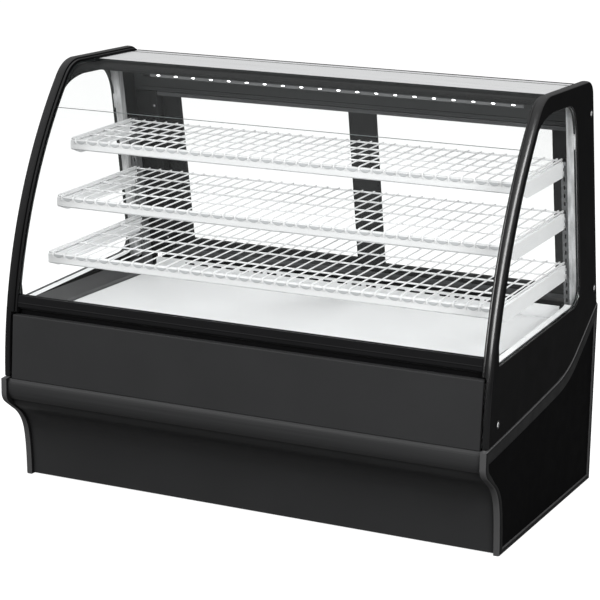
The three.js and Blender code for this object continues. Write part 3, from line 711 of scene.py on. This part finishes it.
# ---------- refrigeration ----------
def heat_exchanger(name, node, slot, x0, x1, y0, y1, z0, z1, pitch, rows, tube):
    fins = Piece()
    count = int((x1 - x0 - 8) / pitch)
    for i in range(count + 1):
        x = x0 + 4 + i * (x1 - x0 - 8) / count
        fins.block((x - 0.35, x + 0.35), (y0 + 2, y1 - 2), (z0 + 2, z1 - 2), 0)
    for x in (x0, x1 - 2):
        fins.block((x, x + 2), (y0, y1), (z0, z1), 0.6, mat=2)
    step = (z1 - z0) / rows
    for y in (y0 + (y1 - y0) * 0.27, y0 + (y1 - y0) * 0.73):
        path = []
        for row in range(rows):
            z = z0 + step * (row + 0.5)
            out = 1 if row % 2 == 0 else -1
            start, end = (x0 - 3, x1 + 3)[::out]
            path += [(start, y, z), (end, y, z)]
            if row < rows - 1:
                for k in range(1, 6):
                    t = math.pi * k / 6
                    path.append((end + out * math.sin(t) * 8, y, z + step / 2 * (1 - math.cos(t))))
        fins.rod(path, tube, 10, mat=1)
    fins.make(name, [FIN, COPPER, ZINC], replaces=node, slot=slot)


def guard(piece, x, y, z, radius, mat=0):
    """Rings and spokes of wire in front of a fan."""
    for k in range(1, 6):
        ring = [(u, y, v) for u, v in circle(x, z, radius * k / 5, 40)]
        piece.rod(ring, 1.0, 6, closed=True, mat=mat)
    for u, v in circle(0, 0, radius, 6):
        piece.rod([(x + share * u, y + 1.4, z + share * v) for share in (0.15, 1.04)], 1.2, 6, mat=mat)


def fan_plate(name, node, slot, materials, x0, x1, z0, z1, fans, y0, y1, guard_y):
    piece = Piece().shell(rect(x0, x1, z0, z1), round_rim(y0, y1, 0.6, n=2), [circle(*fan) for fan in fans],
                          turn=ALONG_Y)
    for x, z, r in fans:
        piece.rod([(u, (y0 + y1) / 2, v) for u, v in circle(x, z, r + 1.5, 48)], 2.4, 8, closed=True)
        guard(piece, x, guard_y, z, r + 3, 1)
    piece.make(name, materials, replaces=node, slot=slot)


def fan_wheel(name, node, body, slot, materials, x, y, z, radius, hub, blades):
    piece = Piece()
    axis = at(x, y, z) @ FACING_REAR
    piece.lathe([(0, -14), (hub * 0.6, -13.4), (hub * 0.92, -11), (hub, -7), (hub, 10), (hub * 0.9, 13),
                 (hub * 0.5, 14), (0, 14)], axis, 36, 1)
    for i in range(blades):
        turn = Matrix.Rotation(2 * math.pi * i / blades, 4, "Z")
        piece.blade(hub - 4, radius, 0.55, radius * 0.52, axis @ turn)
    piece.make(name, materials, body, replaces=node, slot=slot, sharp=50)


def refrigeration():
    heat_exchanger("evaporator_core", "evaporator_coil", "galvanised",
                   -600, 140, 90, 210, TUB_FLOOR, 450, 5.0, 4, 4.6)
    heat_exchanger("condenser_core", "condenser_coil", "coil_copper",
                   -210, 90, 120, 190, PAN_TOP, 236, 4.0, 8, 4.2)
    fan_plate("evaporator_plate", "evaporator_fan_plate", "galvanised", [ZINC, STEEL],
              -630, 170, TUB_FLOOR, 455, [(x, EVAP_FAN_Z, 66) for _, x in EVAP_FANS], 40, 43, 46)
    fan_plate("condenser_shroud_plate", "condenser_fan_shroud", "black_enamel", [BLACK, STEEL],
              -210, 90, PAN_TOP, 236, [(*COND_FAN, 98)], 240, 243, 237)
    for side, x in EVAP_FANS:
        fan_wheel(f"evaporator_rotor_{side}", f"evaporator_fan_{side}", f"{side}_evaporator_fan",
                  "black_plastic", [MOULDED, BLACK], x, 24, EVAP_FAN_Z, 60, 20, 5)
    fan_wheel("condenser_rotor", "condenser_fan", "condenser_fan_wheel", "galvanised", [FIN, BLACK],
              COND_FAN[0], 268, COND_FAN[1], 92, 26, 5)

    shell = Piece()
    centre = at(330, 140, 0)
    shell.lathe([(0, 24), (62, 24), (78, 30), (87, 42), (91, 58), (91.5, 104), (94, 106), (94, 111),
                 (91.5, 113), (91.5, 150), (88, 170), (79, 188), (62, 201), (36, 209.5), (0, 212)],
                centre, 56)
    shell.block((-100, 100), (-62, 62), (PAN_TOP, 20), 1.0, centre, 0)
    for x in (-84, 84):
        for y in (-46, 46):
            foot = centre @ at(x, y, PAN_TOP)
            shell.lathe([(0, 3), (11, 3), (12, 6), (10, 9), (12, 12), (9, 15), (0, 15)], foot, 20, 1)
            shell.lathe([(0, 15), (5, 15), (5, 19), (0, 19)], foot, 6, 2)
    shell.block((78, 112), (-26, 26), (90, 150), 5, centre, 1, 3)
    for x, y, z, top in ((-40, -70, 80, 226), (20, -80, 60, 214)):
        shell.rod([(x, y, z), (x, y - 14, z + 2), (x, y - 22, z + 14), (x, y - 23, z + 40),
                   (x, y - 22, top - 12), (x - 8, y - 18, top - 2), (x - 60, y - 16, top)], 4.8, 10,
                  turn=centre, mat=3)
    shell.make("compressor_shell", [BRONZE_BLACK, RUBBER, STEEL, COPPER], replaces="compressor",
               slot="black_enamel", sharp=45)
    softened("condensate_pan", WHITE, "white_enamel", 1.2, 2)

    box = Piece()
    box.block((-632, -428), (296, 300.2), (70, 226), 1.5)
    for i in range(6):
        z = 92 + i * 12
        box.block((-600, -460), (295.2, 297), (z, z + 4), 0.5, mat=1)
    for x in (-560, -500):
        box.lathe([(0, -2), (13, -2), (13, 7), (10, 9), (10, 16), (0, 16)], at(x, 355, 234), 24, 1)
    for x in (-626, -434):
        for z in (78, 218):
            screw(box, at(x, 296, z) @ FACING_FRONT, 3.4, 2, 1)
    softened("control_box", [ZINC, BLACK, STEEL], "galvanised", 1.5, 2, extra=box)


# ---------- rear of the base ----------
def base_rear():
    face = REAR - 4
    fields = [(-422, 22), (58, 502)]
    holes = [rect(x0, x1, 40, 214, 6) for x0, x1 in fields]
    holes.append(circle(*KNOB, 9, 28))
    holes.append(rect(SWITCH[0] - 13, SWITCH[0] + 13, SWITCH[1] - 14, SWITCH[1] + 14, 2))
    grille = Piece().shell(rect(-TRIM_IN + 2, TRIM_IN - 2, 18, 246), round_rim(face - 3, face, 0.5, n=2),
                           holes, turn=ALONG_Y)
    for x0, x1 in fields:
        for i in range(12):
            z = 49 + i * 14.2
            slat = at(0, face - 3.4, z) @ Matrix.Rotation(0.62, 4, "X")
            grille.block((x0 - 3, x1 + 3), (-5.4, 5.4), (-0.6, 0.6), 0.4, slat)
        for x in (x0 + 146, x0 + 294):    # the ribs behind the slats
            grille.block((x - 4, x + 4), (face - 9, face - 5), (36, 218), 0.8)
    for x in (-712, -470, 40, 520, 712):
        for z in (28, 236):
            screw(grille, at(x, face, z) @ FACING_REAR, 4.0, 1, 0)
    dial = at(KNOB[0], face, KNOB[1]) @ FACING_REAR
    ring = Piece().lathe([(0, -1), (24, -1), (24, 0.6), (23, 1.2), (18.4, 1.2), (18.2, 0.2), (0, 0.2)],
                         dial, 40)
    for i in range(11):
        tick = dial @ Matrix.Rotation(math.radians(-150 + 30 * i), 4, "Z")
        ring.block((-0.5, 0.5), (19.2, 22.4), (1.0, 1.5), 0, tick, 1)
    ring.make("thermostat_dial", [BLACK, NUMERAL], slot="black_enamel")
    grille.make("rear_louvre", [BLACK, STEEL], replaces="rear_grille", slot="black_enamel")

    knob = Piece().lathe([(0, -18), (6.4, -18), (6.4, 1.4), (15.6, 1.8), (15.6, 3.3), (14.6, 3.95),
                          (9, 4), (0, 4)], dial, 60, wave=0.5)
    knob.block((-1.2, 1.2), (5, 14), (3.6, 4.0), 0.2, dial, 1)
    knob.make("thermostat_dial_knob", [MOULDED, NUMERAL], "knob", "thermostat_knob", "black_plastic")

    rocker = rounded([(-10, -12, 1), (2.6, -12, 1), (0.8, 0, 3), (2.6, 12, 1), (-10, 12, 1)], 1)
    rocker_at = at(SWITCH[0], REAR - 5, SWITCH[1]) @ ALONG_X
    switch = Piece().shell(rocker, round_rim(-11, 11, 0.8), turn=rocker_at)
    switch.make("light_rocker", MOULDED, "rocker", "light_switch", "black_plastic")

    panel = Piece()
    for x in (-690, -345, 0, 345, 690):
        for z in (266, 500):
            screw(panel, at(x, REAR - 1, z) @ FACING_REAR, 2.0, 1, 0)
    softened("rear_body_panel", [BLACK, STEEL], "black_enamel", 1.0, 2, extra=panel)


# ---------- leaning rear: posts, header, tracks and sliding doors ----------
def rear_frame():
    top, reach, depth = OPENING["top"], 714, (-62, -4)
    for side, outward in (("left", -1), ("right", 1)):
        inner = OPENING[side]
        post = Piece().block(sorted((inner, outward * reach)), depth, (12, top), 3, LEANING, 0, 3)
        rib = sorted((inner + outward * 22, inner + outward * 25))
        post.block(rib, (-63.2, -60), (14, top - 2), 0.6, LEANING)
        for z in (60, 280, 500):
            screw(post, LEANING @ at(inner + outward * 12, -62, z) @ FACING_FRONT, 3.4, 1, 0)
        post.make(f"rear_post_column_{side}", [DOOR_BLACK, STEEL], replaces=f"rear_post_{side}",
                  slot="black_enamel")
    header = Piece().block((-reach, reach), depth, (top + 1, 648), 3, LEANING, 0, 3)
    header.block((-712, 712), (-63.4, -60), (top + 12, top + 15), 0.6, LEANING)
    for x in (-660, -220, 220, 660):
        screw(header, LEANING @ at(x, -4, 600) @ FACING_REAR, 3.6, 1, 0)
    header.make("rear_header_beam", [HEADER, STEEL], replaces="rear_header", slot="charcoal_enamel")

    left, right = OPENING["left"] + 1, OPENING["right"] - 1
    lower = Piece().block((left, right), (-60, -9), (12, 15), 0.6, LEANING)
    upper = Piece().block((left, right), (-60, -9), (top - 4, top - 1), 0.6, LEANING)
    for y in (-60, -37, -12):
        lower.block((left, right), (y, y + 2.6), (14, 24), 0.8, LEANING)
        upper.block((left, right), (y, y + 2.6), (top - 14, top - 3), 0.8, LEANING)
    lower.make("lower_track_channel", TRACK, replaces="lower_door_track", slot="anodised_silver")
    upper.make("upper_track_channel", TRACK, replaces="upper_door_track", slot="anodised_silver")

    for door in DOORS:
        sliding_door(*door)


def sliding_door(side, x, y, x0, x1, pull):
    place = LEANING @ at(x, y, 0)
    flat = place @ ALONG_Y
    width, half = DOOR["width"], DOOR["thick"] / 2
    low, high = DOOR["z0"] + DOOR["sill"], DOOR["z1"] - DOOR["head"]
    light = rect(x0, x1, low, high, 4)
    door = Piece().shell(rect(0, width, DOOR["z0"], DOOR["z1"], 3), round_rim(-half, half, 1.4), [light],
                         turn=flat)
    for depth in (-half + 0.8, half - 0.8):
        door.rod([(px, depth, pz) for px, pz in light], 1.5, 6, closed=True, turn=place, mat=1)
    for z in (DOOR["z0"] + 17, high - 20):
        for px in (x0 / 2, (x1 + width) / 2):
            screw(door, place @ at(px, -half, z) @ FACING_FRONT, 3.2, 2, 1)
    hollow = rect(pull + 2, pull + 18, 211, 349, 7)
    tool = Piece().shell(hollow, [(3, 0), (10, 0)], turn=flat)
    lip = Piece().shell(rect(pull, pull + 20, 208, 352, 9), round_rim(half - 1, half + 0.7, 0.5, n=2),
                        [hollow], turn=flat)
    body = f"{side}_door"
    door.make(f"door_frame_{side}", [DOOR_BLACK, RUBBER, STEEL], body, f"rear_door_{side}", "black_enamel",
              tools=[tool])
    lip.make(f"door_pull_{side}", BLACK, body, slot="black_enamel")
    reach = 4    # how far the pane goes into the frame
    pane = Piece().block((x0 - reach, x1 + reach), (-2.5, 2.5), (low - reach, high + reach), 0.6, place)
    mark(pane, lambda f: abs(f.normal.y) < 0.7)
    pane.make(f"door_pane_{side}", [GLASS, EDGE_BLACK], body, f"door_glass_{side}", "clear_glass")


# ---------- top ----------
def top():
    roof = Piece()
    roof.block((-INSIDE, INSIDE), (TOP_FRONT, 290), (TOP_Z - 5, TOP_Z), 0.9)
    # the upstand and the thin strip in front of it are black for the two dark lines near the roof's rear
    # edge: painted shade
    roof.block((-INSIDE, INSIDE), (287, 290), (TOP_Z - 1, TOP_Z + 2), 0.8, mat=1)
    roof.block((-INSIDE + 1, INSIDE - 1), (249, 253), (TOP_Z - 0.5, TOP_Z + 0.7), 0.5, mat=1)
    roof.make("roof_panel", [TOP_METAL, BLACK], replaces="top_panel", slot="brushed_top")

    fascia = rounded([(TOP_FRONT + 4, TOP_Z - 5.4, 1), (TOP_FRONT + 12, 1169, 3), (228, 1169, 3),
                      (228, TOP_Z - 5.4, 1)], 1)
    Piece().shell(fascia, round_rim(-INSIDE, INSIDE, 0.6)).make(
        "canopy_housing", CANOPY, replaces="light_canopy", slot="black_enamel")

    channel = rounded([(62, 1168.6, 0), (62, 1163.4, 0.6), (66, 1159, 1), (76, 1159, 1), (80, 1163.4, 0.6),
                       (80, 1168.6, 0)], 1)
    strip = Piece().shell(channel, round_rim(-545, 632, 0.6))
    leds, first, last = 20, -516, 602
    for i in range(leds):
        x = first + (last - first) * i / (leds - 1)
        dot = at(x, 62.2, 1165.6) @ Matrix.Rotation(math.radians(100), 4, "X")
        dome = Matrix.Diagonal((3.2, 0.9, 1.0, 1.0))
        strip.lathe([(0, -1), (1.7, -1), (1.7, 0.2), (1.3, 0.7), (0.7, 1.1), (0, 1.2)], dot @ dome, 20, 1)
    strip.block((-568, -544), (60.5, 79), (1159.5, 1168.6), 1.2, mat=2)
    strip.rod([(-564, 71, 1165), (-580, 72, 1166), (-600, 78, 1167.4), (-640, 90, 1167.6)], 1.8, 8, mat=2)
    strip.make("light_strip_channel", [LENS, LED, BLACK], replaces="light_strip", slot="light_lens")


# ---------- curved glass ----------
def curved_glass():
    materials = [GLASS, GLASS_EDGE, EDGE_BLACK]
    inner = GLASS_INSET + GLASS_T
    z0 = SEAM_Z + 2
    outline = front_curve(z0, GLASS_INSET, 48)
    outline += [(TOP_FRONT - 1, HEIGHT - GLASS_INSET), (TOP_FRONT - 1, HEIGHT - inner)]
    outline += arc(SHOULDER_CY, SHOULDER_CZ, SHOULDER_R - inner, math.pi / 2, SHOULDER_ANGLE, 24)
    outline += front_arc(inner, SHOULDER_ANGLE, front_angle(z0 - 3, inner), 16)[1:]
    upper = Piece().shell(outline, round_rim(-INSIDE, INSIDE, 0.6, n=1))
    mark_curved_edges(upper)
    upper.make("upper_front_glass", materials, replaces="fixed_glass", slot="clear_glass")

    z0, z1 = 541, SEAM_Z - 2
    outline = front_arc(GLASS_INSET, front_angle(z0, GLASS_INSET), front_angle(z1, GLASS_INSET), 60)
    outline += front_arc(inner, front_angle(z1 - 3, inner), front_angle(z0, inner), 60)
    pane = Piece().shell(outline, round_rim(-INSIDE, INSIDE, 0.6, n=1))
    mark_curved_edges(pane)
    pane.make("front_glass_pane", materials, "front_glass", "tilting_glass", "clear_glass")

    # the foot rail's corners: height, how far behind the rail's face, and radius
    corners = [(534, 0, 2), (534, 20, 2), (568, 20, 1.5), (568, 0, 2), (548, 0, 0.6), (547, -0.9, 0.4),
               (545, -0.9, 0.4), (544, 0, 0.6)]
    rail = rounded([(front_y(z, 8) + back, z, r) for z, back, r in corners], 1)
    low, high = (front_y(z, GLASS_INSET - 0.5) for z in (540, 569))
    slot = [(low, 540), (low + 7, 540), (high + 7, 570), (high, 570)]
    tool = Piece().shell(slot, [(-INSIDE - 1, 0), (INSIDE + 1, 0)])
    bar = Piece().shell(rail, round_rim(-INSIDE, INSIDE, 0.8))
    hinge_y = front_y(531, GLASS_INSET + GLASS_T / 2) + 1
    rod = Piece().rod([(-INSIDE, hinge_y, 531), (INSIDE, hinge_y, 531)], 3.6, 20)
    bar.make("glass_foot_rail", BLACK, "front_glass", "glass_rail", "black_enamel", tools=[tool])
    rod.make("glass_pivot_rod", BLACK, "front_glass", slot="black_enamel")


def mark_curved_edges(piece):
    """The end and rear faces of a curved pane get material 2, its upper ground edge material 1."""
    bend_z = FRONT_CZ + FRONT_R * math.sin(SHOULDER_ANGLE)
    piece.bm.normal_update()
    for f in piece.bm.faces:
        mid = f.calc_center_median()
        if mid.z < bend_z:
            away = Vector((0, mid.y - FRONT_CY, mid.z - FRONT_CZ))
        elif mid.y < SHOULDER_CY:
            away = Vector((0, mid.y - SHOULDER_CY, mid.z - SHOULDER_CZ))
        else:
            away = Vector((0, 0, 1))
        if abs(f.normal.x) > 0.7 or (f.normal.y > 0.9 and mid.y > SHOULDER_CY):
            f.material_index = 2
        elif f.normal.z > 0 and abs(f.normal.dot(away.normalized())) < 0.75:
            f.material_index = 1


# ---------- uprights, brackets and wire shelves ----------
def uprights():
    """A slotted channel for the shelf hooks, carried on a closed tube behind the end window."""
    u = UPRIGHT
    wall = 2
    x0, x1, front, back = (u[key] for key in ("x0", "x1", "front", "back"))
    piece = Piece().shell(rect(x0, x1, front, back, 1, 3), round_rim(u["z0"], u["z1"], 0.4, n=2),
                          [rect(x0 + wall, x1 - wall, front + wall, back - wall, 0.5, 2)],
                          turn=LEANING, mat=1)
    tube = rect(END_IN + 0.4, SKIN_IN - 0.4, POST["front"], POST["back"], 1.6, 3)
    bore = rect(END_IN + 3, SKIN_IN - 3, POST["front"] + wall, POST["back"] - wall, 1, 2)
    piece.shell(tube, round_rim(POST["z0"], POST["z1"], 0.4, n=2), [bore], turn=LEANING)
    piece.block((x1 - 1, END_IN + 2), (front + 0.4, front + 6), (POST["z0"], u["z1"]), 0.5, LEANING, 1)
    piece.block((x0 - 1, x1 - 4), (front - 1.4, front + 4), (u["z1"] - 12, u["z1"] - 1), 0.8, LEANING, 2)
    slots = Piece()
    pitch, length = 25, 14
    for i in range(int((u["z1"] - 60) / pitch)):
        z = 34 + pitch * i
        slots.shell(rect(700, 705, z, z + length, 1.8, 2), [(front - 1, 0), (front + wall + 1, 0)],
                    turn=LEANING @ ALONG_Y)
    both(piece, "shelf_upright_channel", "shelf_upright", [TUBE, CHANNEL, SILVER], "anodised_silver", [slots])


def shelf_place(z):
    along = (z - SILL_Z - UPRIGHT["front"] * math.sin(LEAN)) / math.cos(LEAN)
    y = SILL_Y + UPRIGHT["front"] * math.cos(LEAN) - along * math.sin(LEAN)
    return at(0, y, z) @ Matrix.Rotation(SHELF_TILT, 4, "X")


def bracket(depth, place):
    side = rounded([(-depth + 22, -8, 3), (-depth + 22, -32, 4), (-depth + 60, -46, 8), (-4, -46, 3),
                    (-4, 0, 1), (-depth + 28, 0, 3)], 2)
    slit = rect(-34, -31, -13, -5, 1.2, 2)
    piece = Piece().shell(side, round_rim(700, 703, 0.8, n=2), [slit], turn=place @ ALONG_X)
    piece.block((692, 701), (-depth + 30, -8), (-3, -0.6), 0.8, place)
    piece.block((692, 694.4), (-depth + 30, -8), (-9, -0.6), 0.8, place)
    hook = rounded([(-6, -10, 1), (-6, -18, 1), (4, -18, 2), (4, -26, 2), (8, -26, 1), (8, -10, 2)], 1)
    for drop in (0, -17.6):
        piece.shell([(u, v + drop) for u, v in hook], round_rim(701.6, 703, 0.3, n=1),
                    turn=place @ ALONG_X)
    return piece


def wire_shelf(name, depth, place):
    reach, base, count = 702, 0.8, 37
    top = base + 6.6
    first = -reach + 17
    pitch = -2 * first / (count - 1)
    piece = Piece()
    bend = [(13, 0), (5.5, -0.7), (1.4, -3), (0.8, -8), (1.2, -13.5)]
    for i in range(count):
        x = first + pitch * i
        path = [(x, y, top) for y in (-5, -depth * 0.35, -depth * 0.7)]
        piece.rod(path + [(x, y - depth, top + z) for y, z in bend], 2.2, turn=place)
    for x in (-reach + 4, reach - 4):
        path = [(-4, top), (-depth * 0.5, top), (-depth + 10, top), (-depth + 5, top - 1.4)]
        piece.rod([(x, y, z) for y, z in path], 2.8, 10, turn=place)
    for share in (0, 0.26, 0.5, 0.74):
        y = -6.6 - (depth - 20) * share
        piece.rod([(-reach + 3, y, base + 2.4), (reach - 3, y, base + 2.4)], 2.6, 10, turn=place)
    # thin grey half-ellipses on the front rail between each pair of wires: painted shadow under the wire ends
    shadow_scallop = [(pitch * 0.40 * math.cos(t), -9.6 * math.sin(t)) for t in (math.pi * k / 10 for k in range(11))]
    for i in range(count - 1):
        x = first + pitch * (i + 0.5)
        piece.shell([(x + u, base + 0.6 + v) for u, v in shadow_scallop], round_rim(-depth + 1.5, -depth + 3, 0.4, n=1),
                    turn=place @ ALONG_Y, mat=1)
    rail = rounded([(-depth + 18, base + 2.4, 0.8), (-depth + 18, base, 0.5), (-depth + 5.4, base - 1.4, 1),
                    (-depth + 4.4, -22.5, 0.5), (-depth + 12, -26.2, 0.5), (-depth + 11, -28.4, 0.5),
                    (-depth + 2.2, -24, 2), (-depth + 2.8, base + 0.8, 1.5)], 1)
    piece.shell(rail, round_rim(-reach, reach, 0.8), turn=place @ ALONG_X)
    piece.make(f"{name}_grid", [WIRE, RAIL_SHADOW_GREY], replaces=f"{name}_wire_shelf", slot="white_wire", sharp=50)


def shelves():
    for name, z, depth in SHELVES:
        place = shelf_place(z)
        both(bracket(depth, place), f"{name}_bracket", f"{name}_shelf_bracket", BRACKET, "white_enamel")
        wire_shelf(name, depth, place)


# ---------- camera, floor and light ----------
def studio(rounded_edge):
    azimuth, elevation, roll = (math.radians(a) for a in (25.53, 13.64, 0.98))
    back = Vector((math.sin(azimuth) * math.cos(elevation), -math.cos(azimuth) * math.cos(elevation),
                   math.sin(elevation)))
    right = Vector((math.cos(azimuth), math.sin(azimuth), 0))
    above = back.cross(right)
    r = right * math.cos(roll) + above * math.sin(roll)
    u = above * math.cos(roll) - right * math.sin(roll)
    data = bpy.data.cameras.new("camera")
    data.sensor_width = 36
    data.lens = 129.3
    data.shift_x = 0.0005
    data.shift_y = 0.0033
    data.clip_end = 100
    camera = bpy.data.objects.new("camera", data)
    camera.matrix_world = at(2.6181, -5.5001, 2.0273) @ Matrix((r, u, back)).transposed().to_4x4()
    bpy.context.scene.collection.objects.link(camera)
    bpy.context.scene.camera = camera

    half, drop = 60.0, -0.0006
    mesh = bpy.data.meshes.new("studio_floor")
    mesh.from_pydata([(-half, -half, drop), (half, -half, drop), (half, half, drop), (-half, half, drop)],
                     [], [(0, 1, 2, 3)])
    mesh.materials.append(floor_material())
    floor = bpy.data.objects.new("studio_floor", mesh)
    bpy.context.scene.collection.objects.link(floor)
    environment()
    bpy.context.scene.view_settings.view_transform = "Standard"

    lamps = [("key", (-2.6, -3.6, 4.2), (0, 0, 0.5), (3.0, 3.0), 215),
             ("fill", (3.8, -3.0, 2.6), (0.3, 0, 0.6), (2.4, 2.4), 215),
             ("rim", (1.0, 3.8, 3.4), (0, 0, 0.8), (2.6, 2.6), 130)]
    for setting in lamps:
        lamp(*setting).visible_glossy = False
    # a tall narrow light that shows only as the highlight along the right end frame's rounded edge
    edge = lamp("edge_light", (-0.5, -4.0, 3.3), (0.74, -0.3, 0.9), (0.9, 5.4), 330)
    edge.visible_diffuse = False
    lit = bpy.data.collections.new("edge_lit")
    lit.objects.link(rounded_edge)
    edge.light_linking.receiver_collection = lit


def lamp(name, spot, target, size, power):
    data = bpy.data.lights.new(name, "AREA")
    data.shape = "RECTANGLE"
    data.size, data.size_y = size
    data.energy = power
    obj = bpy.data.objects.new(name, data)
    obj.location = spot
    obj.visible_camera = False
    obj.rotation_euler = (Vector(target) - Vector(spot)).to_track_quat("-Z", "Y").to_euler()
    bpy.context.scene.collection.objects.link(obj)
    return obj


def floor_material():
    """Near white where it is seen, and darker for the light that it gives back."""
    mat, tree, pale = new_material("studio_floor")
    feed(tree, pale, {"Base Color": (0.3, 0.3, 0.3, 1), "Roughness": 0.9, "Specular IOR Level": 0.05,
                      "Emission Color": (1, 1, 1, 1), "Emission Strength": 0.84})
    dark = add_node(tree, "BsdfDiffuse", {"Color": (0.14, 0.14, 0.14, 1)})
    show_mix(tree, add_node(tree, "LightPath").outputs["Is Camera Ray"], dark, pale)
    return mat


def environment():
    """A white backdrop that lights the case with a few broad soft lobes."""
    world = bpy.data.worlds.new("studio")
    world.use_nodes = True
    tree = world.node_tree

    def combine(operation, a, b):
        return add_node(tree, "Math", {0: a, 1: b}, operation).outputs["Value"]

    coords = add_node(tree, "TexCoord").outputs["Generated"]
    light = 0.16
    for direction, sharpness, strength in (((0, 0, 1), 1.8, 0.9), ((-0.75, -0.35, 0.55), 2.5, 0.3)):
        dot = add_node(tree, "VectorMath", {0: coords, 1: Vector(direction).normalized()}, "DOT_PRODUCT")
        facing = combine("MAXIMUM", dot.outputs["Value"], 0.0)
        light = combine("ADD", light, combine("MULTIPLY", combine("POWER", facing, sharpness), strength))
    seen = add_node(tree, "LightPath").outputs["Is Camera Ray"]
    shown = combine("MULTIPLY", seen, 1.05)
    unseen = combine("MULTIPLY", combine("SUBTRACT", 1.0, seen), light)
    feed(tree, tree.nodes["Background"], {"Color": (1, 1, 1, 1), "Strength": combine("ADD", shown, unseen)})
    bpy.context.scene.world = world


studio(end_frames())
end_glass()
base_ends()
base_front()
lower_body()
refrigeration()
base_rear()
rear_frame()
top()
curved_glass()
uprights()
shelves()
